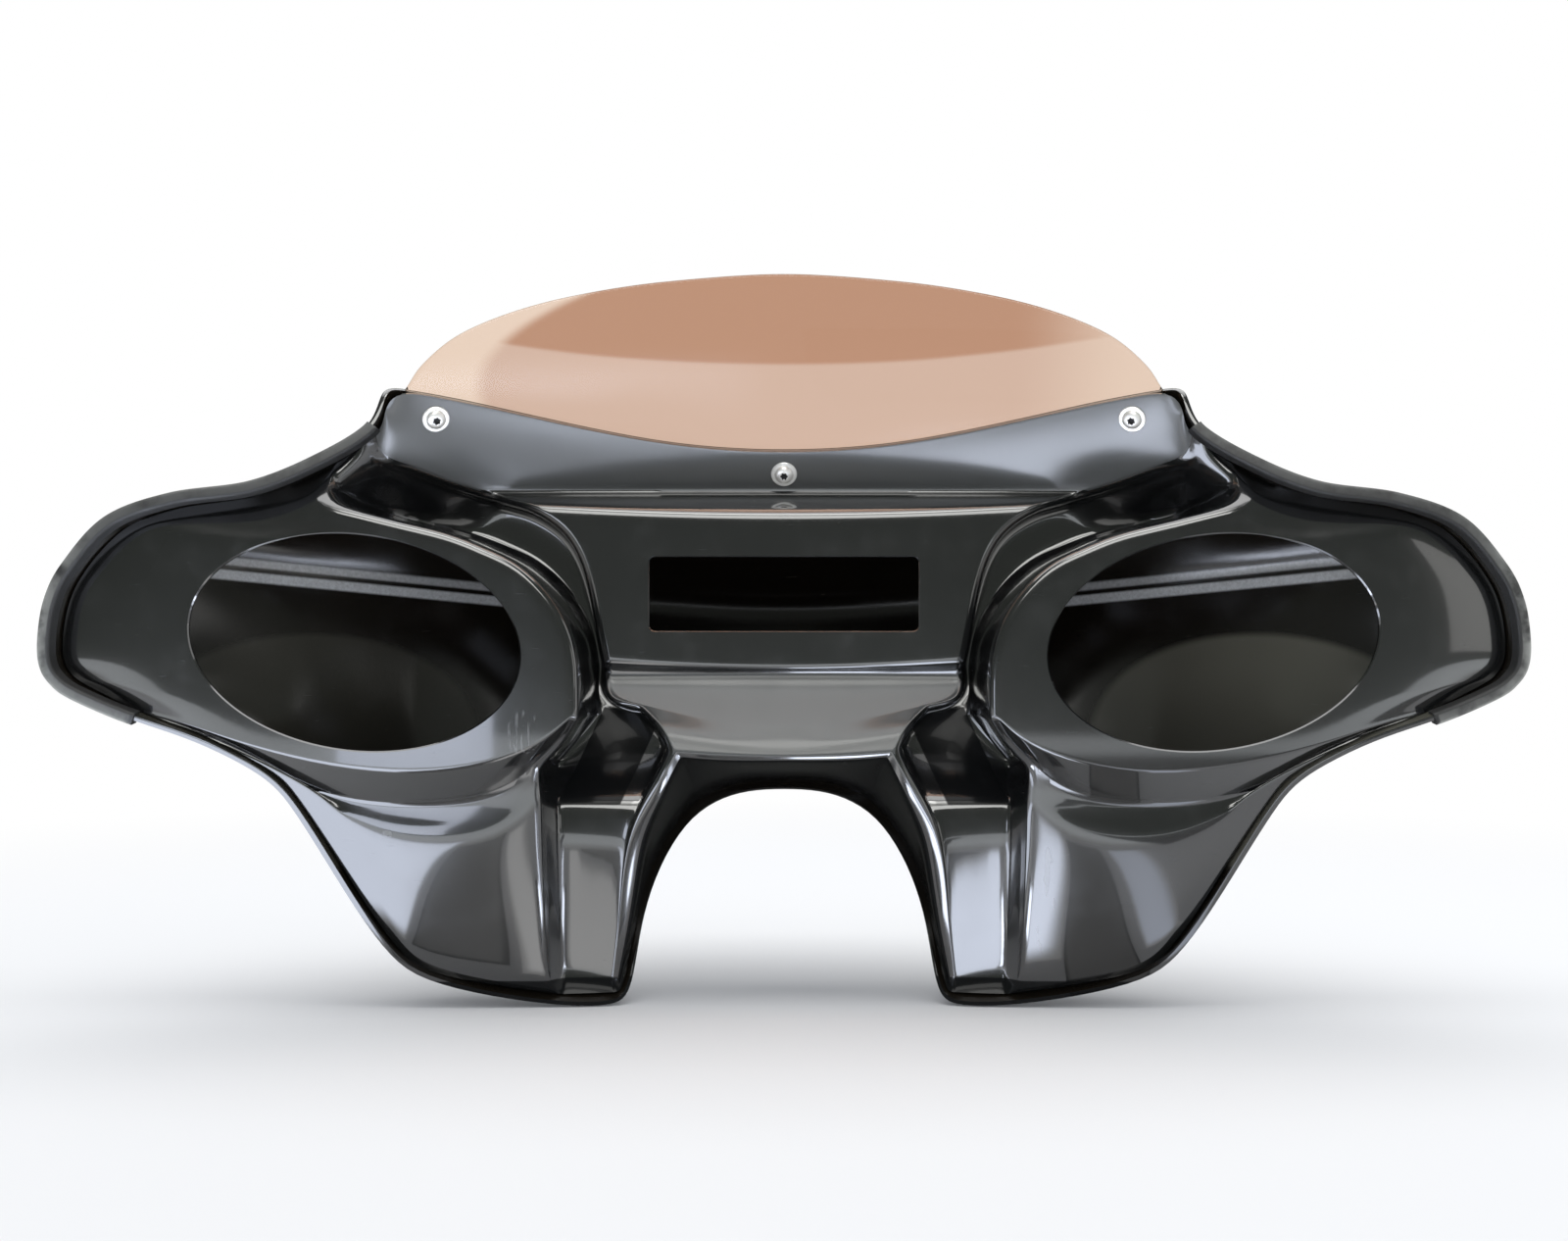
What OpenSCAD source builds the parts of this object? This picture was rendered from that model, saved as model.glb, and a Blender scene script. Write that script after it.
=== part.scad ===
// Batwing fairing for a motorcycle: outer shell, inner fairing, tinted windshield,
// its three screws with washers and nuts, and the rubber trim on both wing edges.
// X runs to the rider's right, Y forward, Z up. The origin is on the dash face,
// on the centre line, midway between the radio opening and the face's lower edge.

/* [Mouldings] */
// Wall of the outer shell
shell_t = 3.5; // [2.5:0.1:4.5]
// Wall of the inner fairing
skin_t = 3; // [2:0.1:3.5]
// Adhesive gap between the inner fairing and the outer shell
bond_gap = 0.8; // [0.7:0.1:1.2]
// X of the wing tip
wing_tip_x = 471; // [460:1:490]

/* [Windshield] */
// Thickness of the acrylic sheet
screen_t = 4.5; // [3:0.5:6]
// Height of the sheet's top edge above the middle of the seat edge
screen_rise = 112; // [80:1:180]
// Length of sheet held between the shell and the flange
screen_overlap = 27; // [20:1:30]
// Lean of the sheet from the vertical, in degrees
screen_lean = 29; // [20:1:38]
// Bend radius of the sheet
screen_r = 575; // [500:5:700]
// Gap on each side of the sheet
screen_gap = 0.4; // [0.3:0.1:0.8]

/* [Dash and pods] */
// Radio opening, width
radio_w = 182; // [160:1:190]
// Radio opening, height
radio_h = 50; // [44:1:56]
// Radio opening, corner radius
radio_r = 4; // [1:0.5:8]
// Height of the radio opening's centre
radio_z = 38; // [34:1:46]
// How far the pod faces stand behind the dash face
pod_proud = 60; // [50:1:70]
// Speaker opening, long axis
speaker_l = 214; // [180:1:220]
// Speaker opening, short axis
speaker_w = 138; // [110:1:142]
// Speaker opening, tilt of the long axis in degrees
speaker_tilt = 8; // [0:1:12]
// Speaker opening, distance of its centre from the centre line
speaker_x = 276; // [270:1:280]
// Speaker opening, height of its centre
speaker_z = 6; // [2:1:10]
// Radius of the convex edges
edge_r = 5; // [3:0.5:6]
// Radius of the inside corners
cove_r = 2; // [1.5:0.1:2.4]
// Depth of the channel between pod and dash, from the dash face
channel_depth = 34; // [26:1:40]

/* [Fasteners] */
// Screw shank diameter
screw_d = 5; // [4:0.5:6]
// Screw head diameter
head_d = 13; // [10:0.5:15]
// Screw head height
head_h = 3.4; // [2.5:0.1:5]
// Hex socket, across flats
socket_af = 4; // [3:0.5:5]
// Washer diameter
washer_d = 18; // [15:0.5:20]
// Washer thickness
washer_t = 1.2; // [0.8:0.1:2]
// Nut, across flats
nut_af = 9; // [8:0.5:11]
// Nut height
nut_h = 5; // [4:0.5:7]
// Clearance of the screw in its holes
hole_play = 0.6; // [0.3:0.1:1]
// Gap under the washer and the nut on the curved walls
seat_play = 0.3; // [0.2:0.1:0.5]
// Distance of the outer screws from the centre line
screw_x = 232; // [220:1:236]
// Drop of the screws below the seat edge
screw_drop = 12; // [11:0.5:16]

/* [Edge trim] */
// Rubber thickness
trim_t = 2.2; // [1.5:0.1:3]
// Depth of the channel over the edge
trim_depth = 8; // [6:0.5:12]
// Gap between the rubber and the shell
trim_gap = 0.25; // [0.2:0.05:0.5]

/* [Hidden] */
$fn = 32;
shell_colour = [0.05, 0.05, 0.055];
skin_colour = [0.09, 0.095, 0.1];
screen_colour = [0.82, 0.66, 0.54, 0.6];
steel_colour = [0.8, 0.81, 0.82];
rubber_colour = [0.13, 0.13, 0.13];

// Small vector helpers
function unit(v) = v / norm(v);
function clamp01(x) = min(1, max(0, x));
function ramp(x, a, b) = let (t = clamp01((x - a) / (b - a))) t * t * (3 - 2 * t);
function mix(a, b, t) = a + (b - a) * t;
function flipped(p) = concat(-p.x, [for (i = [1:len(p) - 1]) p[i]]);

// Point at index t of the smooth curve through pts, and of the broken line through pts
function smooth_at(pts, t) =
    let (
        n = len(pts) - 1,
        i = min(n - 1, max(0, floor(t))),
        u = t - i,
        b = pts[i],
        c = pts[i + 1],
        a = i > 0 ? pts[i - 1] : 2 * b - c,
        d = i < n - 1 ? pts[i + 2] : 2 * c - b
    )
    b + 0.5 * u * (c - a + u * (2 * a - 5 * b + 4 * c - d + u * (3 * (b - c) + d - a)));
// The same for a curve that crosses the centre line square at its start
function smooth_from_middle(pts, t) = smooth_at(concat([flipped(pts[1])], pts), t + 1);
function line_at(pts, t) =
    let (i = min(len(pts) - 2, max(0, floor(t)))) mix(pts[i], pts[i + 1], t - i);

// Surface patch between four curves. tf and bf are points on its top and bottom
// curves, iw and ow on its inner and outer ones, and c holds its four corners.
function patch(tf, bf, iw, ow, c, f, w) =
    mix(tf, bf, w) + mix(iw, ow, f) - mix(mix(c[0], c[1], f), mix(c[2], c[3], f), w);

// Windshield: a leaning sheet bent about its own rulings. Its rear face is the
// reference for everything that clamps it.
seat_edge = [[0, 136], [75, 140], [147, 152], [209, 164], [252, 170]];
screen_y = 38;
lean_slope = tan(screen_lean);
function screen_face_y(x, z) =
    screen_y - (z - seat_edge[0].y) * lean_slope - x * x / (2 * screen_r);
function screen_normal(x) = unit([x / screen_r, 1, lean_slope]);
function on_screen(x, z, off) = [x, screen_face_y(x, z), z] + screen_normal(x) * off;
ruling = [0, sin(screen_lean), -cos(screen_lean)];
shell_off = screen_t + screen_gap + shell_t;
flange_off = -screen_gap - skin_t;

// Outer shell. Its rear edge runs over index s from the top centre round the wing
// to the top centre of the fork opening; every point of it is joined by a curve
// to the crease that runs along the front from wing to wing.
wing_top = [
    [264, -38, 167], [271, -44, 146], [303, -55, 124], [342, -64, 107],
    [391, -70, 99], [430, -73, 84], [wing_tip_x - 15, -74, 55],
];
wing_tip = [
    [wing_tip_x - 4, -74, 33], [wing_tip_x, -74, 9], [wing_tip_x - 1, -74, -8],
    [wing_tip_x - 7, -73, -19],
];
wing_low = [
    [452, -72, -28], [419, -68, -43], [380, -63, -56], [338, -55, -79],
    [320, -50, -99], [292, -43, -147], [262, -35, -197], [230, -31, -220],
];
fork_edge = [
    [155, -26, -234], [118, -22, -235], [104, -17, -230], [99, 0, -205],
    [93, 38, -165], [70, 78, -124], [38, 96, -106], [0, 101, -103],
];
rim_pts = concat(
    [for (p = seat_edge) on_screen(p.x, p.y, shell_off)], wing_top, wing_tip, wing_low, fork_edge
);
crease_pts = [
    [0, 140, 30], [60, 136, 31], [115, 127, 33], [165, 113, 36], [205, 98, 38], [235, 84, 41],
    [262, 70, 44], [290, 55, 47], [325, 34, 51], [365, 8, 53], [400, -16, 46],
    [wing_tip_x - 39, -42, 28],
];
// Directions in which the wall leaves the rim round the lower edge and the opening
lower_lead = [
    [-0.1, 1, 0.1], [-0.1, 1, 0.12], [-0.06, 1, 0.15], [0, 0.95, 0.35], [0, 0.9, 0.45],
    [0.1, 0.85, 0.5], [0.25, 0.85, 0.5], [0.5, 0.65, 0.6], [0.7, 0.3, 0.65], [0.6, 0.25, 0.75],
    [0.35, 0.4, 0.8], [0, 0.5, 0.87],
];
s_tip = len(seat_edge) + len(wing_top) - 1;
s_low = s_tip + len(wing_tip) + 1;
s_end = len(rim_pts) - 1;
s_turn = s_end - len(lower_lead) + 1;
rim_run = concat(rim_pts, [flipped(rim_pts[len(rim_pts) - 2])]);
function on_seat_edge(t) = let (p = smooth_from_middle(seat_edge, t)) on_screen(p.x, p.y, shell_off);
function rim(s) = s <= 4 ? on_seat_edge(s) : smooth_from_middle(rim_run, s);
function crease_index(s) = s <= s_tip ? s : s <= s_low ? s_tip : (s_end - s) * s_tip / (s_end - s_low);
function crease(s) = smooth_from_middle(crease_pts, crease_index(s));
function toward_crease(s) = let (d = crease(s) - rim(s)) unit([d.x, 0, d.z]);
wing_lean = 0.12;
function wing_lead(s) = unit([0, 1, 0] + wing_lean * toward_crease(s));
function lead(s) = unit(
    s <= 4 ? ruling
    : s < s_turn ? mix(ruling, wing_lead(s), ramp(s, 4, 6))
    : mix(wing_lead(s), smooth_at(lower_lead, s - s_turn), ramp(s, s_turn, s_turn + 2))
);
wing_flat = 22;
fork_flat = 10;
function lead_length(s) = mix(
    mix(screen_overlap + 3, wing_flat, ramp(s, 4, 6)), fork_flat, ramp(s, s_low + 1, s_low + 6)
);
function reach(s) =
    mix(mix(0.25, 0.4, ramp(s, 4, 8)), 0.14, ramp(s, s_end - 8, s_end - 4))
    + 0.14 * ramp(s, s_end - 2, s_end);
// Point on the shell's outside: q from 0 to 1 is the straight lead-in, 1 to 2 the curve
function shell_at(s, q) =
    let (
        p0 = rim(s) + lead(s) * lead_length(s) * min(q, 1),
        p3 = crease(s),
        gap = norm(p3 - p0),
        out = p0 - p3,
        away = unit([out.x, -0.22 * norm([out.x, out.z]), out.z]),
        p1 = p0 + lead(s) * reach(s) * gap,
        p2 = p3 + away * 0.3 * gap,
        t = max(0, q - 1)
    )
    q <= 1 ? p0 : mix(mix(mix(p0, p1, t), mix(p1, p2, t), t), mix(mix(p1, p2, t), mix(p2, p3, t), t), t);
step = 0.02;
function shell_normal(s, q) =
    let (
        a = min(s_end - step, max(step, s)),
        ds = shell_at(a + step, q) - shell_at(a - step, q),
        dq = q < 1.5 ? shell_at(a, q + step) - shell_at(a, q) : shell_at(a, q) - shell_at(a, q - step),
        n = unit(cross(ds, dq))
    )
    s <= 0 || s >= s_end ? unit([0, n.y, n.z]) : n;
// Seat of the inner fairing on the inside of the shell, a depth in from the rim. The
// gap is wider round the lower corners.
low_gap = 0.9;
function seat_gap(s) = shell_t + bond_gap + low_gap * (ramp(s, 19, 21) - ramp(s, 28.5, 30));
function seat(s, depth) = rim(s) + lead(s) * depth - shell_normal(s, 0.5) * seat_gap(s);

crease_n = 22;
tip_n = 9;
shell_rows = [0, 0.5, 1, 1.12, 1.25, 1.4, 1.55, 1.7, 1.85];
top_s = [for (i = [0:crease_n]) i * s_tip / crease_n];
tip_s = [for (i = [1:tip_n]) mix(s_tip, s_low, i / (tip_n + 1))];
low_s = [for (i = [crease_n:-1:0]) s_end - i * (s_end - s_low) / crease_n];
half_s = concat(top_s, tip_s, low_s);
half_n = len(half_s) - 1;
ring_n = 2 * half_n;

module outer_shell_skin() {
    half = [for (q = shell_rows) [for (s = half_s) shell_at(s, q)]];
    half_in = [for (q = shell_rows) [for (s = half_s) shell_at(s, q) - shell_normal(s, q) * shell_t]];
    crease_out = [for (s = top_s) crease(s)];
    crease_in = [
        for (i = [0:crease_n])
            let (
                n = unit(shell_normal(top_s[i], 1.98) + shell_normal(low_s[crease_n - i], 1.98)),
                flat_n = i == 0 ? unit([0, n.y, n.z]) : n
            )
            crease_out[i] - flat_n * shell_t
    ];
    pts = concat(
        ring_points(half), crease_points(crease_out), ring_points(half_in), crease_points(crease_in)
    );
    m = len(shell_rows);
    nv = len(pts) / 2;
    polyhedron(pts, [
        for (j = [0:m - 1], k = [0:ring_n - 1])
            let (
                k2 = (k + 1) % ring_n,
                a = j * ring_n + k,
                b = j * ring_n + k2,
                c = j < m - 1 ? b + ring_n : crease_id(k2, m),
                d = j < m - 1 ? a + ring_n : crease_id(k, m)
            )
            each concat(two_sided([a, c, b], nv), c == d ? [] : two_sided([a, d, c], nv)),
        for (k = [0:ring_n - 1])
            let (k2 = (k + 1) % ring_n)
            each [[k, k2, k2 + nv], [k, k2 + nv, k + nv]],
    ]);
}
function two_sided(f, nv) = [f, [f[2] + nv, f[1] + nv, f[0] + nv]];
function ring_points(half) = [
    for (row = half) each concat(row, [for (k = [half_n - 1:-1:1]) flipped(row[k])])
];
function crease_points(line) = concat(line, [for (i = [1:crease_n]) flipped(line[i])]);
// Index of the crease point that ring position k ends on
function crease_id(k, m) =
    let (
        r = k <= half_n ? k : ring_n - k,
        i = r <= crease_n ? r : r <= crease_n + tip_n ? crease_n : half_n - r
    )
    m * ring_n + (k <= half_n || i == 0 ? i : crease_n + i);

// Inner fairing: one moulding, drawn as a net of stations. Stations v run from the
// top edge down; a runs outwards from the centre line: 0 to 1 the middle panel,
// 1 to 2 its side wall, 2 to 3 the channel floor, 3 to 4 the pod's wall, 4 to 5 the
// pod face and, from station 18 down, the lower wing panel.
ARCH = 18;
FOOT = 25;
// Middle panel's side edge, [x, z] at stations 1 to 25
panel_edge = [
    [268, 128], [255, 121], [232, 111], [206, 103], [199, 101], [179, 96], [170, 93], [151, 82],
    [139, 64], [132, 40], [128, 15], [123, -9], [123, -15], [124, -27], [117, -37], [97, -41],
    [84, -53], [77, -66], [86, -84], [97, -102], [104, -124], [108, -152], [110, -187],
    [115, -221], [115, -226],
];
// Pod's inner edge, then the lower panel's inner edge, [x, z] at stations 1 to 25
pod_edge = [
    [303, 99], [277, 92], [250, 85], [224, 79], [214, 76], [203, 72], [192, 67], [173, 59],
    [156, 44], [142, 26], [134, 6], [132, -10], [131.5, -20], [131.5, -30], [131.5, -37],
    [132, -44], [143, -60], [160, -77], [159, -89], [158, -100], [158, -119], [157, -150],
    [156, -185], [155, -220], [155, -225],
];
// Heights on the centre line at stations 0 to 18
centre_z = [
    136, 134, 127, 119, 111, 108, 96.5, 92, 80, radio_z + radio_h / 2 + 4, radio_z,
    radio_z - radio_h / 2 - 4, -13, -17, -28, -40, -50, -61, -69,
];
// Depths of the brow and of the edges below it, from station 17 down
brow_y = [-25, -29];
cheek_edge_y = [-24, -30, -31, -26, -22, -19, -17, -16, -15];
lower_edge_y = [-44, -38, -37, -37, -36, -35, -33, -31, -29];
// Depth of the channel floor beside the flange from station 1, and of the channel
// floor, the bar pocket and the cheek from station 14 down
floor_rise_y = [-14, 1, 15, 28, channel_depth];
floor_low_y = [32, 28, 26, 22, 16, 8, -15, -18, -17, -16, -15, -14];
pod_bottom = [[160, -62], [200, -75], [245, -79], [300, -72], [345, -60], [385, -46]];
panel_top = [
    [186, -38, -92], [219, -38, -100], [267, -40, -100], [309, -42, -92], [337, -48, -69],
];
shelf_start = [10, -18];
shelf_slope = 0.85;
corner_a = 0.88;

function flange_y(x, z) = screen_face_y(x, z) + flange_off * norm([x / screen_r, 1, lean_slope]);
function shelf_y(z) = shelf_start[0] + (z - shelf_start[1]) * shelf_slope;
function floor_y(v) =
    v <= 13 ? channel_depth - (v < 3 ? 16 * (3 - v) : 0) : line_at(floor_low_y, v - 14);
function floor_edge_y(v) = v <= 5 ? line_at(floor_rise_y, v - 1) : floor_y(v);
function edge_xz(v) = smooth_at(panel_edge, v - 1);
function pod_xz(v) = smooth_at(pod_edge, v - 1);
function across(p) = unit([-p.y, p.x]);
dash_draft = 0.5;
pod_draft = 1;
foot_draft = 7;
function edge_out(v) = across(edge_xz(v + 0.5) - edge_xz(v - 0.5));
function pod_in(v) = -across(pod_xz(v + 0.5) - pod_xz(v - 0.5));
// Depth of the middle panel at station v
function panel_y(v, x, z, side) =
    v <= 4 ? flange_y(x, z)
    : v <= 5 ? flange_y(x, z) - 3
    : v <= 6 ? 5
    : v <= 12 ? 0
    : v <= 13 ? shelf_start[0]
    : v <= 16 ? shelf_y(z)
    : mix(line_at(brow_y, v - 17), line_at(cheek_edge_y, v - 17), pow(side, 3));
function edge_y(v) = v <= 16 ? panel_y(v, edge_xz(v).x, edge_xz(v).y, 1) : line_at(cheek_edge_y, v - 17);
function pod_y(v) = v <= 16 ? -pod_proud : line_at(lower_edge_y, v - 17);
function round_r(h) = min(edge_r, 0.45 * h);
function cove(h) = min(cove_r, 0.3 * h);
// Wall profile: steps k of 0 to 4 from the face over the round and down to the floor
function wall(k, h, draft) =
    let (r = round_r(h), c = cove(h))
    [[-r, 0], [-0.29 * r, 0.29 * r], [0, r], [draft, h - c], [draft + c, h]][k];
function raised(p, y, dir, w) = [p.x + dir.x * w[0], y + w[1], p.y + dir.y * w[0]];
function edge_wall(k, v) =
    let (h = floor_edge_y(v) - edge_y(v)) raised(edge_xz(v), edge_y(v), edge_out(v), wall(k, h, dash_draft));
function pod_wall(k, v) =
    let (h = floor_y(v) - pod_y(v), draft = pod_draft + foot_draft * ramp(v, 17, 20))
    raised(pod_xz(v), pod_y(v), pod_in(v), wall(k, h, draft));

function seat_depth(s) = mix(mix(5, 18, ramp(s, 5, 7.5)), 6, ramp(s, s_low, s_low + 2));
function seated(s) = seat(s, seat_depth(s));
s_side = 4.7;
s_channel = 6;
s_pod = 7;
s_wing = 9.6;
s_pod_end = 17.1;
s_panel = 18;
s_corner = 22.3;
s_foot = [24, 25.3, 26.4];
s_arch = 29.3;

function top_edge_xz(a) =
    a <= corner_a ? smooth_from_middle(seat_edge, 4 * a / corner_a)
    : mix(seat_edge[4], panel_edge[0], (a - corner_a) / (1 - corner_a));
// Rim position that the moulding's own edge is seated at, or undef away from the edge
function seat_s(a, v) =
    v == 0 ? (
        a <= corner_a ? undef
        : a <= 1 ? mix(s_side, s_channel, (a - corner_a) / (1 - corner_a))
        : a <= 4 ? mix(s_channel, s_pod, (a - 1) / 3)
        : mix(s_pod, s_wing, a - 4)
    )
    : v == FOOT ? (
        a <= 4 ? mix(s_foot[1], s_foot[0], line_at([0, 0.06, 0.86, 1], a - 1))
        : mix(s_foot[0], s_corner, a - 4)
    )
    : a < 5 ? undef
    : v <= 16 ? mix(s_wing, s_pod_end, max(0.02, (v - 1) / 15))
    : v == 17 ? mix(s_pod_end, s_panel, 0.5)
    : mix(s_panel, s_corner, (v - ARCH) / (FOOT - ARCH));
function middle(a, v) =
    let (
        e = edge_wall(0, v),
        t = top_edge_xz(a),
        p = v <= 1 ? [t.x, a <= corner_a ? t.y - 2 * v : t.y]
            : a == 1 ? [e.x, e.z] : [a * e.x, mix(centre_z[v], e.z, a * a)]
    )
    [p.x, a == 1 && v > 4 ? e.y : panel_y(v, p.x, p.y, a), p.y];
function channel(a, v) =
    v == 1 ? mix(edge_wall(0, 1), pod_wall(0, 1), (a - 1) / 3)
    : a <= 2 ? edge_wall((a - 1) * 4, v)
    : a <= 3 ? mix(edge_wall(4, v), pod_wall(4, v), a - 2)
    : pod_wall((4 - a) * 4, v);
pod_lip = 10;
wing_roll_from = 0.7;
panel_bow = 5;
function pod_top(f) =
    let (q = seated(mix(s_pod, s_wing, f)), c = unit([speaker_x - q.x, speaker_z - q.z]))
    q + [c.x, 0, c.y] * pod_lip * (1 - pow(f, 3));
function pod_low(f) =
    let (
        a = pod_wall(0, 16),
        b = seated(s_pod_end),
        p = smooth_at(concat([[a.x, a.z]], pod_bottom, [[b.x, b.z]]), f * (len(pod_bottom) + 1))
    )
    [p.x, -pod_proud, p.y];
function pod_face(f, v) =
    let (
        w = (v - 1) / 15,
        o = seated(seat_s(5, v)),
        p = patch(pod_top(f), pod_low(f), pod_wall(0, v), o,
            [pod_top(0), pod_top(1), pod_low(0), pod_low(1)], f, w),
        roll = pow(clamp01((f - wing_roll_from) / (1 - wing_roll_from)), 2) * (o.y + pod_proud),
        lip = v == 1 ? 0.3 * (pod_top(f).y + pod_proud) * ramp(f, 0, 0.3) : 0
    )
    [p.x, -pod_proud + max(roll, lip), p.z];
function step_line(f) =
    smooth_at(concat([pod_wall(0, 18)], panel_top, [seated(s_panel)]), f * (len(panel_top) + 1));
function step_face(f) = f == 0 ? pod_wall(0, 17) : mix(pod_low(f), step_line(f), 0.3);
function lower_panel(f, v) =
    let (
        w = (v - ARCH) / (FOOT - ARCH),
        b0 = seated(s_foot[0]),
        b1 = seated(s_corner),
        p = patch(step_line(f), seated(mix(s_foot[0], s_corner, f)), pod_wall(0, v),
            seated(seat_s(5, v)), [step_line(0), step_line(1), b0, b1], f, w)
    )
    p - [0, panel_bow * sin(180 * f) * sin(180 * w), 0];
function outer_part(f, v) = v <= 16 ? pod_face(f, v) : v == 17 ? step_face(f) : lower_panel(f, v);
function net(a, v) =
    let (s = seat_s(a, v))
    !is_undef(s) ? seated(s) : a <= 1 ? middle(a, v) : a <= 4 ? channel(a, v) : outer_part(a - 4, v);

cols = [
    0, 0.15, 0.3, 0.45, 0.6, 0.75, corner_a, 0.92, 0.96, 1, 1.25, 1.5, 1.75, 2, 3, 3.25, 3.5, 3.75, 4,
    4.12, 4.25, 4.4, 4.55, 4.7, 4.8, 4.9, 5,
];
edge_col = 9;
col_n = len(cols) - 1;
half_net = [for (v = [0:FOOT]) [for (i = [0:col_n]) net(v > ARCH && i < edge_col ? 1 : cols[i], v)]];

// Tunnel wall: from the rolled edge round the arch to the shell's fork opening.
// Position k runs up the right cheek and in along the brow to the centre line.
leg = FOOT - ARCH;
arch_k = leg + edge_col;
function roll_start(k) = k <= leg ? half_net[FOOT - k][edge_col] : half_net[ARCH][arch_k - k];
function roll_dir(k) =
    k <= leg ? let (o = edge_out(FOOT - k)) unit([-o.x, -o.y - 1.2 * ramp(k, leg - 3, leg)])
    : let (a = cols[arch_k - k]) unit([-pow(a, 3), -1]);
function roll_r(k) =
    k <= leg ? min(4 * k, mix(12, 8, ramp(k, leg - 4, leg))) : mix(8, 5, (k - leg) / edge_col);
function tunnel_s(k) =
    k <= leg ? mix(s_foot[2], s_arch, k / leg) : mix(s_arch, s_end, 1 - cols[arch_k - k]);
leg_bow = 1.5;
function foot_seat(m, d) =
    let (t = m / TUNNEL_ROWS)
    seat(mix(s_foot[1], s_foot[2], t), mix(seat_depth(s_foot[1]), tunnel_depth, t) + d);
function tunnel(k, m) =
    let (
        q = roll_start(k),
        d = roll_dir(k),
        r = roll_r(k),
        end = seat(tunnel_s(k), tunnel_depth),
        turn = q + [d.x * r, 0.7 * r, d.y * r]
    )
    k == 0 ? foot_seat(m, 0)
    : m == 1 ? q + [0.7 * d.x * r, 0.2 * r, 0.7 * d.y * r]
    : m == 2 ? turn
    : m == 3 ? mix(turn, end, 0.5) + [k < leg ? leg_bow : 0, 0, 0]
    : end;
TUNNEL_ROWS = 4;
tunnel_depth = 5;
half_tunnel = [for (m = [1:TUNNEL_ROWS]) [for (k = [0:arch_k]) tunnel(k, m)]];

function net_normal(j, i) =
    let (
        left = i == 0 ? flipped(half_net[j][1])
            : j > ARCH && i == edge_col ? half_tunnel[0][FOOT - j] : half_net[j][i - 1],
        right = half_net[j][min(col_n, i + 1)],
        up = half_net[max(0, j - 1)][i],
        down = j == ARCH && i < edge_col ? half_tunnel[0][arch_k - i] : half_net[min(FOOT, j + 1)][i],
        n = unit(cross(right - left, down - up))
    )
    i == 0 ? unit([0, n.y, n.z]) : n;
function tunnel_normal(k, m) =
    let (
        row = half_tunnel[m - 1],
        dk = (k == arch_k ? flipped(row[k - 1]) : row[k + 1]) - row[max(0, k - 1)],
        before = m == 1 ? roll_start(k) : half_tunnel[m - 2][k],
        dm = half_tunnel[min(TUNNEL_ROWS, m + 1) - 1][k] - before,
        n = unit(cross(dm, dk))
    )
    k == arch_k ? unit([0, n.y, n.z]) : n;

module inner_fairing_skin() {
    wide = 2 * col_n + 1;
    path_n = 2 * arch_k;
    net_back = [
        for (j = [0:FOOT]) [
            for (i = [0:col_n])
                let (s = seat_s(cols[i], j))
                j > ARCH && i < edge_col ? half_net[j][i] + [0, skin_t, 0]
                : is_undef(s) ? half_net[j][i] + net_normal(j, i) * skin_t
                : seat(s, seat_depth(s) + skin_t)
        ]
    ];
    tunnel_back = [
        for (m = [1:TUNNEL_ROWS]) [
            for (k = [0:arch_k])
                k == 0 ? foot_seat(m, skin_t)
                : m == TUNNEL_ROWS ? seat(tunnel_s(k), tunnel_depth + skin_t)
                : half_tunnel[m - 1][k] + tunnel_normal(k, m) * skin_t
        ]
    ];
    front = concat(net_rows(half_net), tunnel_rows(half_tunnel));
    pts = concat(front, net_rows(net_back), tunnel_rows(tunnel_back));
    nv = len(front);
    path = [
        for (k = [0:path_n])
            let (r = min(k, path_n - k), side = k <= arch_k ? 1 : -1)
            r <= leg ? (FOOT - r) * wide + col_n + side * edge_col
            : ARCH * wide + col_n + side * (arch_k - r)
    ];
    base = wide * (FOOT + 1);
    loop = concat(
        [for (i = [0:wide - 1]) i],
        [for (j = [1:FOOT]) j * wide + wide - 1],
        [for (i = [wide - 2:-1:col_n + edge_col]) FOOT * wide + i],
        [for (m = [1:TUNNEL_ROWS]) tunnel_id(0, m, base, path_n)],
        [for (k = [1:path_n]) tunnel_id(k, TUNNEL_ROWS, base, path_n)],
        [for (m = [TUNNEL_ROWS - 1:-1:1]) tunnel_id(path_n, m, base, path_n)],
        [for (i = [col_n - edge_col:-1:0]) FOOT * wide + i],
        [for (j = [FOOT - 1:-1:1]) j * wide]
    );
    polyhedron(pts, [
        for (j = [0:FOOT - 1], i = [0:wide - 2])
            if (j < ARCH || i < col_n - edge_col || i >= col_n + edge_col)
                let (p = j * wide + i, left = i < col_n)
                each quad_faces(p, p + 1, p + 1 + wide, p + wide, nv, left),
        for (m = [0:TUNNEL_ROWS - 1], k = [0:path_n - 1])
            let (
                p = m == 0 ? path[k] : tunnel_id(k, m, base, path_n),
                q = m == 0 ? path[k + 1] : tunnel_id(k + 1, m, base, path_n),
                r = tunnel_id(k, m + 1, base, path_n)
            )
            each quad_faces(q, p, r, r + 1, nv, k < arch_k),
        for (k = [0:len(loop) - 1])
            let (p = loop[k], q = loop[(k + 1) % len(loop)])
            each [[q, p, p + nv], [q, p + nv, q + nv]],
    ]);
}
function tunnel_id(k, m, base, path_n) = base + (m - 1) * (path_n + 1) + k;
function quad_faces(a, b, c, d, nv, turned) =
    turned ? concat(two_sided([a, b, d], nv), two_sided([b, c, d], nv))
    : concat(two_sided([a, b, c], nv), two_sided([a, c, d], nv));
function net_rows(rows) = [
    for (row = rows) each concat([for (i = [col_n:-1:1]) flipped(row[i])], row)
];
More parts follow.
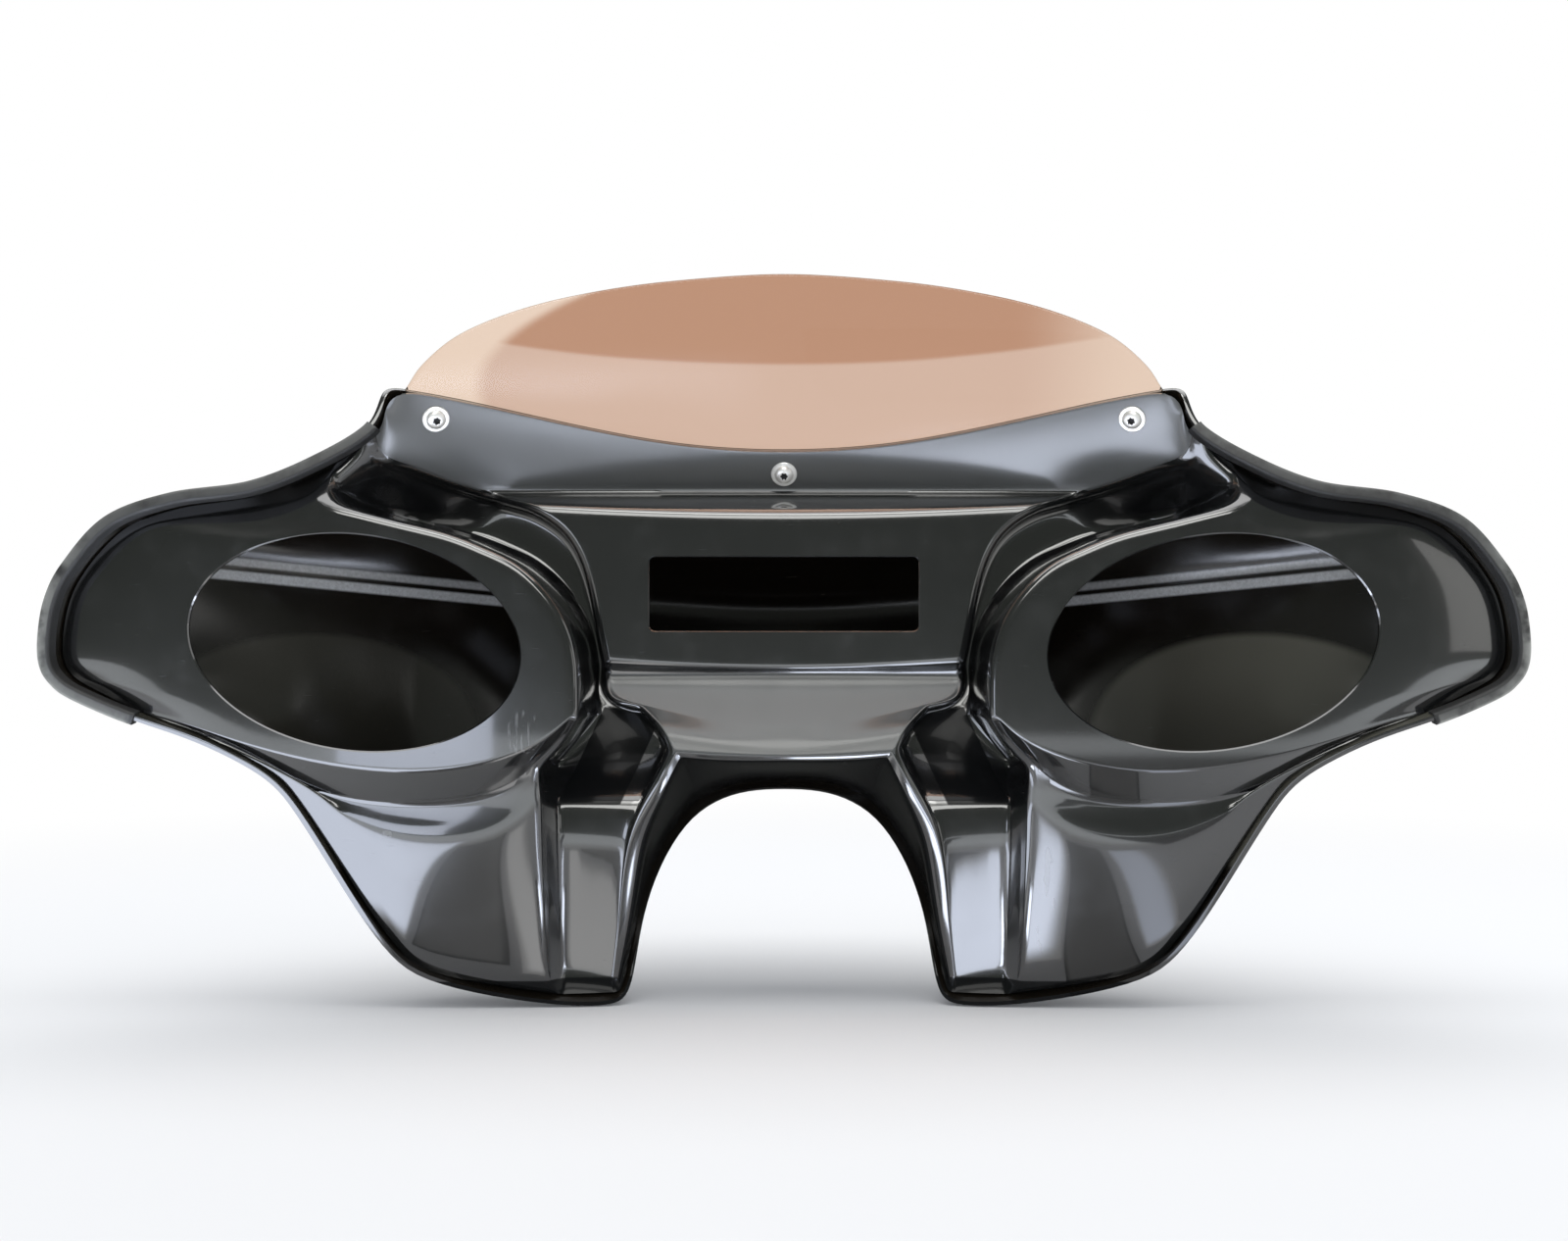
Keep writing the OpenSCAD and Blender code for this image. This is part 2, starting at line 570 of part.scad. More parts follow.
function tunnel_rows(rows) = [
    for (row = rows) each concat(row, [for (k = [arch_k - 1:-1:0]) flipped(row[k])])
];

// Openings trimmed out of the moulding
cut_reach = 20;
module speaker_cut() {
    translate([speaker_x, -pod_proud - cut_reach, speaker_z])
        rotate([0, -speaker_tilt, 0])
        rotate([-90, 0, 0])
        linear_extrude(2 * cut_reach)
        polygon([for (i = [0:47]) [speaker_l / 2 * cos(i * 7.5), speaker_w / 2 * sin(i * 7.5)]]);
}
module radio_cut() {
    x = radio_w / 2 - radio_r;
    z = radio_h / 2 - radio_r;
    translate([0, -cut_reach, radio_z])
        rotate([-90, 0, 0])
        linear_extrude(2 * cut_reach) {
            square([2 * x, radio_h], center = true);
            square([radio_w, 2 * z], center = true);
            for (i = [-1, 1], j = [-1, 1]) translate([i * x, j * z]) circle(radio_r);
        }
}

// Windshield screws stand square to the sheet. Each place is [x, z] on its rear face.
screw_places = [
    [-screw_x, screw_z(screw_x)], [0, screw_z(0)], [screw_x, screw_z(screw_x)],
];
function screw_z(x) = lookup(x, seat_edge) - screw_drop;
module at_screws() {
    for (p = screw_places) {
        n = screen_normal(p.x);
        translate(on_screen(p.x, p.y, 0)) rotate([0, acos(n.z), atan2(n.y, n.x)]) children();
    }
}
module screw_holes() {
    at_screws()
        translate([0, 0, -cut_reach])
        cylinder(d = screw_d + 2 * hole_play, h = 2 * cut_reach, $fn = 24);
}

module outer_shell() {
    color(shell_colour) difference() {
        outer_shell_skin();
        screw_holes();
    }
}
module inner_fairing() {
    color(skin_colour) difference() {
        inner_fairing_skin();
        speaker_cut();
        mirror([1, 0, 0]) speaker_cut();
        radio_cut();
        screw_holes();
    }
}

// Windshield outline: [x on the top edge, x on the lower edge, share of the rise that
// the top edge keeps]. The first entry is the neighbour across the centre line.
screen_outline = [
    [-74, -70, 0.936], [0, 0, 1], [74, 70, 0.936], [130, 125, 0.82], [174, 168, 0.667],
    [211, 205, 0.46], [235, 232, 0.218], [248, 246, 0],
];
screen_cols = [for (i = [-12:12]) i / 2];
screen_rows = [0, 0.25, 0.5, 0.75, 1];
function screen_point(t, w, off) =
    let (
        o = smooth_at(screen_outline, abs(t) + 1),
        corner = seat_edge[4].y,
        top = [o.x, corner + (seat_edge[0].y + screen_rise - corner) * o.z],
        low = [o.y, lookup(o.y, seat_edge) - screen_overlap * cos(screen_lean)],
        p = mix(low, top, w)
    )
    on_screen(sign(t) * p.x, p.y, off);
module screen_sheet() {
    n = len(screen_cols);
    m = len(screen_rows);
    pts = [for (off = [0, screen_t], w = screen_rows, t = screen_cols) screen_point(t, w, off)];
    nv = n * m;
    loop = concat(
        [for (i = [0:n - 1]) i],
        [for (j = [1:m - 1]) j * n + n - 1],
        [for (i = [n - 2:-1:0]) (m - 1) * n + i],
        [for (j = [m - 2:-1:1]) j * n]
    );
    polyhedron(pts, [
        for (j = [0:m - 2], i = [0:n - 2])
            let (p = j * n + i, left = screen_cols[i] < 0)
            each quad_faces(p, p + n, p + n + 1, p + 1, nv, left),
        for (k = [0:len(loop) - 1])
            let (p = loop[k], q = loop[(k + 1) % len(loop)])
            each [[p, q, q + nv], [p, q + nv, p + nv]],
    ]);
}
module windshield() {
    color(screen_colour) difference() {
        screen_sheet();
        screw_holes();
    }
}

// Clamping stack on the screw axes, measured from the sheet's rear face
washer_top = -screen_gap - skin_t - seat_play;
head_top = washer_top - washer_t;
nut_base = shell_off + seat_play;
bore_play = 0.1;
socket_depth = 2;
shank_end = 1.5;
module windshield_screws() {
    dome_r = (pow(head_d / 2, 2) + head_h * head_h) / (2 * head_h);
    color(steel_colour) at_screws() {
        difference() {
            intersection() {
                translate([0, 0, head_top - head_h]) cylinder(d = head_d, h = head_h);
                translate([0, 0, head_top - head_h + dome_r]) sphere(dome_r);
            }
            translate([0, 0, head_top - head_h - 1])
                cylinder(d = socket_af / cos(30), h = socket_depth + 1, $fn = 6);
        }
        translate([0, 0, head_top]) cylinder(d = screw_d, h = nut_base + nut_h + shank_end - head_top);
    }
}
module windshield_washers() {
    color(steel_colour) at_screws() translate([0, 0, head_top]) difference() {
        cylinder(d = washer_d, h = washer_t);
        translate([0, 0, -1]) cylinder(d = screw_d + 2 * bore_play, h = washer_t + 2);
    }
}
module windshield_nuts() {
    color(steel_colour) at_screws() translate([0, 0, nut_base]) difference() {
        intersection() {
            cylinder(d = nut_af / cos(30), h = nut_h, $fn = 6);
            cylinder(d1 = nut_af + 2 * nut_h, d2 = nut_af, h = nut_h);
        }
        translate([0, 0, -1]) cylinder(d = screw_d + 2 * bore_play, h = nut_h + 2);
    }
}

// Rubber trim: a channel pushed over the shell's edge from behind the flange round
// the wing tip to the lower edge
trim_start = 5.9;
trim_end = 17.1;
trim_s = [for (s = half_s) if (s > trim_start && s < trim_end) s];
function trim_section() =
    let (wide = shell_t / 2 + trim_gap + trim_t, narrow = wide - trim_t, base = -trim_gap - trim_t)
    [
        [trim_depth, wide], [base + 0.6 * trim_t, wide], [base, wide - 0.6 * trim_t],
        [base, 0.6 * trim_t - wide], [base + 0.6 * trim_t, -wide], [trim_depth, -wide],
        [trim_depth, -narrow], [-trim_gap, -narrow], [-trim_gap, narrow], [trim_depth, narrow],
    ];
function trim_ring(s) =
    let (n = shell_normal(s, 0.5), c = rim(s) - n * shell_t / 2)
    [for (p = trim_section()) c + lead(s) * p.x + n * p.y];
module trim_channel() {
    rings = [for (s = trim_s) trim_ring(s)];
    n = len(rings) - 1;
    m = len(rings[0]);
    cap = [[0, 1, 8, 9], [1, 2, 3], [1, 3, 4], [1, 4, 7, 8], [4, 5, 6, 7]];
    last = n * m;
    polyhedron([for (r = rings) each r], [
        for (i = [0:n - 1], k = [0:m - 1])
            let (k2 = (k + 1) % m, a = i * m)
            each [[a + k, a + m + k2, a + k2], [a + k, a + m + k, a + m + k2]],
        for (f = cap) each [f, [for (i = [len(f) - 1:-1:0]) last + f[i]]],
    ]);
}
module edge_trim_right() {
    color(rubber_colour) trim_channel();
}
module edge_trim_left() {
    color(rubber_colour) mirror([1, 0, 0]) trim_channel();
}

outer_shell();
inner_fairing();
windshield();
windshield_screws();
windshield_washers();
windshield_nuts();
edge_trim_left();
edge_trim_right();
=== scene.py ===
import math

import bmesh
import bpy
import numpy as np
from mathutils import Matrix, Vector


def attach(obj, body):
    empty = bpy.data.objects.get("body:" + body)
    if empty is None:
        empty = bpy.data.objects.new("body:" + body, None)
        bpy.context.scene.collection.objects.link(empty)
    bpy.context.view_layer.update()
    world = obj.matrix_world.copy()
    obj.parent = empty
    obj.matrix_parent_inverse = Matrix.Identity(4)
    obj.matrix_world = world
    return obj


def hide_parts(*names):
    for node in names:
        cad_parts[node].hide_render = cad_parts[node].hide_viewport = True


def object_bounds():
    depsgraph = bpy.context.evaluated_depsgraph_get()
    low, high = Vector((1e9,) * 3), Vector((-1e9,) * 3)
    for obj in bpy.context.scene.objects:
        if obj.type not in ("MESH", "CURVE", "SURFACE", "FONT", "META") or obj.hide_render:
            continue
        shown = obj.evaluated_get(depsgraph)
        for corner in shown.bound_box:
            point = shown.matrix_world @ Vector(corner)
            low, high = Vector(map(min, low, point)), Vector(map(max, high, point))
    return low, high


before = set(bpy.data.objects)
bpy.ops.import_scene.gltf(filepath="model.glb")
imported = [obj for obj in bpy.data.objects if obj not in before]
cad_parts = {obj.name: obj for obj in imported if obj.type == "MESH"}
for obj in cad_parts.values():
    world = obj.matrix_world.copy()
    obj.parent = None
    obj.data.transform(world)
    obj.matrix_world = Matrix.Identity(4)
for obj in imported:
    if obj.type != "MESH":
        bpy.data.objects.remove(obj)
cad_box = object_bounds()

# Camera, at the rider's eye behind the fairing, level with the dash. It looks straight
# forward, and the lens takes in the whole width from wing tip to wing tip.
camera = bpy.data.objects.new("camera", bpy.data.cameras.new("camera"))
bpy.context.scene.collection.objects.link(camera)
camera.data.sensor_width = 36
camera.data.lens = 41.63
camera.location = (0, -1.224, 0.020)
camera.rotation_euler = (math.radians(90), 0, 0)
bpy.context.scene.camera = camera
bpy.context.scene.view_settings.view_transform = "Standard"


# Outer shell: one fibreglass moulding, 3.5 mm thick, that runs from wing to wing across
# the front. Its outside is spanned between the rim, which shows as a black edge round the
# whole fairing, and a crease along the front. Sizes are in mm up to make_object.
def unit(v):
    v = np.asarray(v, float)
    return v / np.linalg.norm(v)


def mix(a, b, t):
    return np.asarray(a, float) + (np.asarray(b, float) - np.asarray(a, float)) * t


def ramp(x, a, b):
    t = min(1.0, max(0.0, (x - a) / (b - a)))
    return t * t * (3 - 2 * t)


def flipped(p):
    return np.array([-p[0], *p[1:]], float)


def smooth_at(points, t):
    n = len(points) - 1
    i = min(n - 1, max(0, math.floor(t)))
    u = t - i
    b, c = np.asarray(points[i], float), np.asarray(points[i + 1], float)
    a = np.asarray(points[i - 1], float) if i > 0 else 2 * b - c
    d = np.asarray(points[i + 2], float) if i < n - 1 else 2 * c - b
    return b + 0.5 * u * (c - a + u * (2 * a - 5 * b + 4 * c - d + u * (3 * (b - c) + d - a)))


def smooth_from_middle(points, t):
    return smooth_at([flipped(points[1]), *points], t + 1)


def line_at(points, t):
    i = min(len(points) - 2, max(0, math.floor(t)))
    return mix(points[i], points[i + 1], t - i)


shell_t, skin_t, bond_gap, low_gap = 3.5, 3.0, 0.8, 0.9
screen_t, screen_gap, screen_r, screen_y = 4.5, 0.4, 575.0, 38.0
lean = math.radians(29)
lean_slope = math.tan(lean)
seat_edge = [(0, 136), (75, 140), (147, 152), (209, 164), (252, 170)]
wing_tip_x = 471


def seat_z(x):
    return float(np.interp(x, *zip(*seat_edge)))


def screen_face_y(x, z):
    return screen_y - (z - seat_edge[0][1]) * lean_slope - x * x / (2 * screen_r)


def screen_normal(x):
    return unit([x / screen_r, 1, lean_slope])


def on_screen(x, z, off):
    return np.array([x, screen_face_y(x, z), z]) + screen_normal(x) * off


ruling = np.array([0, math.sin(lean), -math.cos(lean)])
shell_off = screen_t + screen_gap + shell_t
flange_off = -screen_gap - skin_t
wing_top = [
    (264, -38, 167), (271, -44, 146), (303, -55, 124), (342, -64, 107),
    (391, -70, 99), (430, -73, 84), (wing_tip_x - 15, -74, 55),
]
wing_tip = [
    (wing_tip_x - 4, -74, 33), (wing_tip_x, -74, 9), (wing_tip_x - 1, -74, -8),
    (wing_tip_x - 7, -73, -19),
]
wing_low = [
    (452, -72, -28), (419, -68, -43), (380, -63, -56), (338, -55, -79),
    (320, -50, -99), (292, -43, -147), (262, -35, -197), (230, -31, -220),
]
fork_edge = [
    (155, -26, -234), (118, -22, -235), (104, -17, -230), (99, 0, -205),
    (93, 38, -165), (70, 78, -124), (38, 96, -106), (0, 101, -103),
]
rim_points = [on_screen(x, z, shell_off) for x, z in seat_edge]
rim_points += [np.array(p, float) for p in wing_top + wing_tip + wing_low + fork_edge]
crease_points = [
    (0, 140, 30), (60, 136, 31), (115, 127, 33), (165, 113, 36), (205, 98, 38), (235, 84, 41),
    (262, 70, 44), (290, 55, 47), (325, 34, 51), (365, 8, 53), (400, -16, 46),
    (wing_tip_x - 39, -42, 28),
]
lower_lead = [
    (-0.1, 1, 0.1), (-0.1, 1, 0.12), (-0.06, 1, 0.15), (0, 0.95, 0.35), (0, 0.9, 0.45),
    (0.1, 0.85, 0.5), (0.25, 0.85, 0.5), (0.5, 0.65, 0.6), (0.7, 0.3, 0.65), (0.6, 0.25, 0.75),
    (0.35, 0.4, 0.8), (0, 0.5, 0.87),
]
s_tip = len(seat_edge) + len(wing_top) - 1
s_low = s_tip + len(wing_tip) + 1
s_end = len(rim_points) - 1
s_turn = s_end - len(lower_lead) + 1
rim_run = [flipped(rim_points[1]), *rim_points, flipped(rim_points[-2])]


def rim(s):
    if s <= 4:
        x, z = smooth_from_middle(seat_edge, s)
        return on_screen(x, z, shell_off)
    return smooth_at(rim_run, s + 1)


def crease(s):
    if s > s_tip:
        s = s_tip if s <= s_low else (s_end - s) * s_tip / (s_end - s_low)
    return smooth_from_middle(crease_points, s)


def wing_lead(s):
    d = crease(s) - rim(s)
    return unit(np.array([0, 1, 0]) + 0.12 * unit([d[0], 0, d[2]]))


def lead(s):
    if s <= 4:
        return ruling
    if s < s_turn:
        return unit(mix(ruling, wing_lead(s), ramp(s, 4, 6)))
    return unit(mix(wing_lead(s), smooth_at(lower_lead, s - s_turn), ramp(s, s_turn, s_turn + 2)))


def shell_at(s, q):
    length = mix(mix(30, 22, ramp(s, 4, 6)), 10, ramp(s, s_low + 1, s_low + 6))
    p0 = rim(s) + lead(s) * length * min(q, 1)
    if q <= 1:
        return p0
    p3 = crease(s)
    gap = np.linalg.norm(p3 - p0)
    out = p0 - p3
    away = unit([out[0], -0.22 * math.hypot(out[0], out[2]), out[2]])
    reach = mix(mix(0.25, 0.4, ramp(s, 4, 8)), 0.14, ramp(s, s_end - 8, s_end - 4))
    p1 = p0 + lead(s) * (reach + 0.14 * ramp(s, s_end - 2, s_end)) * gap
    p2 = p3 + away * 0.3 * gap
    t = q - 1
    return (1 - t) ** 3 * p0 + 3 * t * (1 - t) ** 2 * p1 + 3 * t * t * (1 - t) * p2 + t ** 3 * p3


def shell_normal(s, q):
    step = 0.02
    a = min(s_end - step, max(step, s))
    ds = shell_at(a + step, q) - shell_at(a - step, q)
    dq = shell_at(a, q + step) - shell_at(a, q) if q < 1.5 else shell_at(a, q) - shell_at(a, q - step)
    n = unit(np.cross(ds, dq))
    return unit([0, n[1], n[2]]) if s <= 0 or s >= s_end else n


def seat(s, depth):
    gap = shell_t + bond_gap + low_gap * (ramp(s, 19, 21) - ramp(s, 28.5, 30))
    return rim(s) + lead(s) * depth - shell_normal(s, 0.5) * gap


def make_object(name, points, faces, edge_crease=(), levels=0):
    mesh = bpy.data.meshes.new(name)
    mesh.from_pydata([tuple(float(c) * 0.001 for c in p) for p in points], [], faces)
    mesh.validate()
    piece = bpy.data.objects.new(name, mesh)
    bpy.context.scene.collection.objects.link(piece)
    if edge_crease:
        wanted = {frozenset(e): w for e, w in edge_crease}
        layer = mesh.attributes.new("crease_edge", "FLOAT", "EDGE")
        for edge in mesh.edges:
            layer.data[edge.index].value = wanted.get(frozenset(edge.vertices), 0)
    if levels:
        smooth = piece.modifiers.new("smooth", "SUBSURF")
        smooth.levels = smooth.render_levels = levels
    return piece


def finished(piece):
    # The piece as a plain mesh, with its modifiers applied
    graph = bpy.context.evaluated_depsgraph_get()
    mesh = bpy.data.meshes.new_from_object(piece.evaluated_get(graph))
    piece.modifiers.clear()
    piece.data = mesh


crease_n, tip_n = 22, 9
rows_q = [0, 0.5, 1, 1.12, 1.25, 1.4, 1.55, 1.7, 1.85]
top_s = [i * s_tip / crease_n for i in range(crease_n + 1)]
tip_s = [s_tip + (s_low - s_tip) * i / (tip_n + 1) for i in range(1, tip_n + 1)]
low_s = [s_end - i * (s_end - s_low) / crease_n for i in range(crease_n, -1, -1)]
half_s = top_s + tip_s + low_s
half_n = len(half_s) - 1
ring_n = 2 * half_n


def ring(half):
    return list(half) + [flipped(p) for p in half[-2:0:-1]]


def crease_place(k):
    r = k if k <= half_n else ring_n - k
    i = r if r <= crease_n else crease_n if r <= crease_n + tip_n else half_n - r
    return i if k <= half_n or i == 0 else crease_n + i


shell_points = []
for inside in (False, True):
    for q in rows_q:
        half = [shell_at(s, q) - (shell_normal(s, q) * shell_t if inside else 0) for s in half_s]
        shell_points += ring(half)
    line = []
    for i, s in enumerate(top_s):
        n = unit(shell_normal(s, 1.98) + shell_normal(low_s[crease_n - i], 1.98))
        n = unit([0, n[1], n[2]]) if i == 0 else n
        line.append(crease(s) - (n * shell_t if inside else 0))
    shell_points += line + [flipped(p) for p in line[1:]]
layer_n = len(shell_points) // 2
shell_faces, rim_creases = [], []
for j in range(len(rows_q)):
    for k in range(ring_n):
        k2 = (k + 1) % ring_n
        a, b = j * ring_n + k, j * ring_n + k2
        if j < len(rows_q) - 1:
            face = [a, a + ring_n, b + ring_n, b]
        else:
            base = len(rows_q) * ring_n
            c, d = base + crease_place(k2), base + crease_place(k)
            face = [a, d, c, b] if c != d else [a, d, b]
        shell_faces += [face, [i + layer_n for i in reversed(face)]]
for k in range(ring_n):
    k2 = (k + 1) % ring_n
    shell_faces.append([k, k2, k2 + layer_n, k + layer_n])
    rim_creases += [((k, k2), 0.85), ((k + layer_n, k2 + layer_n), 0.85)]
outer_shell = make_object("outer_shell_gloss", shell_points, shell_faces, rim_creases, 2)
for polygon in outer_shell.data.polygons:
    # The rear layer's faces are its own points only
    polygon.material_index = int(min(polygon.vertices) >= layer_n)
finished(outer_shell)


def mark_finish(piece):
    # Turns the marks on the faces into attributes that the material reads
    mesh = piece.data
    index = np.zeros(len(mesh.polygons), dtype=np.int32)
    mesh.polygons.foreach_get("material_index", index)
    for name, mark in (("bare_inside", 1), ("satin_painted_sheen", 2), ("tunnel_shade", 3)):
        layer = mesh.attributes.new(name, "FLOAT", "FACE")
        layer.data.foreach_set("value", (index == mark).astype(np.float32))
    mesh.polygons.foreach_set("material_index", np.zeros(len(mesh.polygons), dtype=np.int32))


class Sock:
    """A shader socket that takes part in plain arithmetic."""

    def __init__(self, paint, socket):
        self.paint, self.socket = paint, socket

    def sum(self, operation, first, second=None):
        values = {0: first} if second is None else {0: first, 1: second}
        return self.paint.node("ShaderNodeMath", {"operation": operation}, values)

    def __add__(self, other):
        return self.sum("ADD", self, other)

    def __radd__(self, other):
        return self.sum("ADD", other, self)

    def __sub__(self, other):
        return self.sum("SUBTRACT", self, other)

    def __rsub__(self, other):
        return self.sum("SUBTRACT", other, self)

    def __mul__(self, other):
        return self.sum("MULTIPLY", self, other)

    def __rmul__(self, other):
        return self.sum("MULTIPLY", other, self)

    def __truediv__(self, other):
        return self.sum("DIVIDE", self, other)

    def __pow__(self, other):
        return self.sum("POWER", self, other)

    def over(self, low, high):
        # 0 below low, 1 above high, and a smooth step between
        return self.paint.node(
            "ShaderNodeMapRange", {"interpolation_type": "SMOOTHSTEP"}, {0: self, 1: low, 2: high}
        )


class Paint:
    """The nodes of a material, or of the world, that is being mixed."""

    def __init__(self, name, kind=bpy.data.materials):
        self.material = kind.new(name)
        self.material.use_nodes = True
        self.tree = self.material.node_tree
        self.shader = self.tree.nodes.get("Principled BSDF")
        self.end = next(n for n in self.tree.nodes if n.name.endswith("Output")).inputs["Surface"]

    def node(self, kind, settings=None, values=None, output=0):
        node = self.tree.nodes.new(kind)
        for key, value in (settings or {}).items():
            setattr(node, key, value)
        for key, value in (values or {}).items():
            self.feed(node.inputs[key], value)
        return Sock(self, node.outputs[output])

    def feed(self, socket, value):
        if isinstance(value, Sock):
            self.tree.links.new(value.socket, socket)
        else:
            socket.default_value = value

    def set(self, shader=None, **values):
        for key, value in values.items():
            self.feed((shader or self.shader).inputs[key.replace("_", " ")], value)

    def lay(self, factor, kind="ShaderNodeBsdfPrincipled", **values):
        # A second shader over the one so far, where factor is 1
        top = self.node(kind)
        self.set(top.socket.node, **values)
        under = Sock(self, self.end.links[0].from_socket)
        self.feed(self.end, self.node("ShaderNodeMixShader", {}, {0: factor, 1: under, 2: top}))

    def mark(self, name):
        return self.node("ShaderNodeAttribute", {"attribute_name": name}, output=2)

    def place(self, scale=(1, 1, 1), turn=(0, 0, 0)):
        where = self.node("ShaderNodeTexCoord", output=3)
        return self.node("ShaderNodeMapping", {}, {0: where, 2: turn, 3: scale})

    def axes(self):
        # The place on the piece: across, forward and up, in metres
        split = self.node("ShaderNodeSeparateXYZ", {}, {0: self.place()}).socket.node
        return [Sock(self, output) for output in split.outputs]

    def noise(self, scale, detail=2.0, roughness=0.5, stretch=(1, 1, 1), turn=(0, 0, 0)):
        return self.node("ShaderNodeTexNoise", {}, {
            "Vector": self.place(stretch, turn), "Scale": scale, "Detail": detail, "Roughness": roughness,
        })

    def blend(self, factor, first, second):
        return self.node("ShaderNodeMix", {"data_type": "RGBA"}, {0: factor, 6: first, 7: second}, 2)

    def bump(self, height, distance, strength=1.0, under=None):
        values = {"Height": height, "Distance": distance, "Strength": strength}
        if under is not None:
            values["Normal"] = under
        return self.node("ShaderNodeBump", {}, values)


def gloss_black(name):
    # Black gel coat, polished outside; inside, the bare laminate is brownish and dull
    paint = Paint(name)
    bare, satin_painted_sheen, tunnel_shade = (paint.mark(mark) for mark in ("bare_inside", "satin_painted_sheen", "tunnel_shade"))
    waves = paint.noise(9.0, 1.0)
    peel = paint.noise(260.0, 1.0)
    weave = paint.noise(420.0, 3.0, 0.7)
    dust = paint.noise(38.0, 4.0, 0.6)
    scratch = paint.noise(60.0, 2.0, 0.6, (1, 1, 14), (0, 0.5, 0)).over(0.7, 0.76)
    x, y, z = paint.axes()
    side = x * (x.over(-0.001, 0.001) * 2 - 1)

    def rubbed(cx, cz, half_w, half_h, wear_and_highlight_lines):
        reach = ((x - cx) / half_w) ** 2 + ((z - cz) / half_h) ** 2
        return (1 - reach.over(0.5, 1.0)) * wear_and_highlight_lines * (1 - y.over(0.0, 0.02))

    # Rubbed marks: fine lines on the left pod, wavy ones on the right lower panel, and a
    # nick on the left lower panel
    fine = paint.noise(420.0, 2.0, 0.6, (1, 1, 0.12), (0, 0.3, 0)).over(0.54, 0.62)
    wavy = paint.noise(170.0, 1.0, 0.5, (1, 1, 0.3)).over(0.55, 0.6)
    nick = paint.noise(230.0, 1.0, 0.5, (1, 1, 0.8), (0, 0.8, 0)).over(0.58, 0.62)
    marks = rubbed(-0.168, -0.052, 0.013, 0.016, fine)
    marks = marks + rubbed(0.171, -0.163, 0.007, 0.042, wavy)
    marks = marks + rubbed(-0.259, -0.122, 0.009, 0.006, nick)

    # Painted shade: the two pockets beside the tunnel, the tunnel and the feet are dull black, with hardly
    # any reflection, so they render as dark as shade
    corner_x, corner_z, edge = 0.124, -0.0394, 0.001
    outer_line = side - corner_x + (z - corner_z) * 0.44
    top_line = z - corner_z + (corner_x - side) * 0.17
    inner_line = side - 0.0865 + (z + 0.05) * 0.43
    painted_shade = (1 - outer_line.over(-edge, edge)) * (1 - top_line.over(-edge, edge))
    painted_shade = painted_shade * inner_line.over(-edge, edge) * z.over(-0.104, -0.102) * (1 - y.over(0.03, 0.05))
    painted_shade = (painted_shade + (1 - z.over(-0.2185, -0.2165)) + tunnel_shade * 0.9).over(0, 1)

    # Painted light inside, behind each speaker opening: two painted highlight lines along the shell's
    # crease, and a painted pool of light, olive in colour and brighter on the right
    seam = z - 0.0125 - side * 0.1
    wear_and_highlight_lines = seam.over(-0.0035, -0.0015) * (1 - seam.over(0.003, 0.005))
    wear_and_highlight_lines = wear_and_highlight_lines + seam.over(0.0065, 0.0085) * (1 - seam.over(0.0115, 0.014)) * 0.7
    wear_and_highlight_lines = wear_and_highlight_lines * side.over(0.13, 0.17) * (1 - side.over(0.422, 0.432)) * bare * (0.5 + weave * 0.8)
    painted_light_patch = ((side - 0.325) / 0.112) ** 2 + ((z + 0.067) / 0.08) ** 2
    painted_light_patch = (1 - painted_light_patch.over(0.86, 1.02)) * bare * (0.2 + x.over(-0.1, 0.1) * 0.55)

    gel_and_painted_sheen = paint.blend(dust.over(0.5, 0.85), (0.0085, 0.009, 0.0095, 1), (0.015, 0.0155, 0.016, 1))
    # Painted sheen: the satin flange and shelf get a lighter grey base that stands in for the light they
    # reflect
    gel_and_painted_sheen = paint.blend(satin_painted_sheen, gel_and_painted_sheen, (0.066, 0.07, 0.07, 1))
    gel_and_painted_sheen = paint.blend(marks * 0.3, gel_and_painted_sheen, (0.30, 0.31, 0.32, 1))
    # The bare laminate's own colour, with the painted pool of light and the painted highlight lines laid
    # over it
    laminate_and_painted_light = paint.blend(weave, (0.006, 0.005, 0.0035, 1), (0.014, 0.011, 0.008, 1))
    laminate_and_painted_light = paint.blend(painted_light_patch, laminate_and_painted_light, (0.16, 0.155, 0.125, 1))
    laminate_and_painted_light = paint.blend(wear_and_highlight_lines, laminate_and_painted_light, (0.75, 0.78, 0.82, 1))
    height = peel * (1 - bare) + weave * bare * 4 + marks * 2
    same = {
        "Base_Color": paint.blend(bare, gel_and_painted_sheen, laminate_and_painted_light),
        "Roughness": 0.18 + dust.over(0.45, 0.85) * 0.08 + scratch * 0.1 + satin_painted_sheen * 0.2 + marks * 0.2,
        "Normal": paint.bump(height, 0.00002, 0.6, paint.bump(waves, 0.0012)),
        "IOR": 1.5, "Coat_IOR": 1.7,
    }
    paint.set(Coat_Weight=1 - bare, Coat_Roughness=0.05, **same)
    paint.lay(satin_painted_sheen, Coat_Weight=0.26 + z.over(0.0, 0.1) * 0.24, Coat_Roughness=0.16, **same)
    # Painted shade: the pockets, the tunnel and the feet hardly reflect, so they render black
    paint.lay(painted_shade, Coat_Weight=0.05, Coat_Roughness=0.05, Specular_IOR_Level=0.08, **same)
    return paint.material


def dress(piece, material, node):
    piece.data.materials.clear()
    piece.data.materials.append(material)
    piece.data.polygons.foreach_set("use_smooth", [True] * len(piece.data.polygons))
    piece.data.set_sharp_from_angle(angle=math.radians(38))
    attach(piece, "root")
    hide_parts(node)


# Screw holes through the shell, the windshield and the inner fairing
screw_x, screw_drop, hole_d = 232.0, 12.0, 6.2
screw_axes = []
for x in (-screw_x, 0.0, screw_x):
    screw_axes.append((on_screen(x, seat_z(abs(x)) - screw_drop, 0), screen_normal(x)))


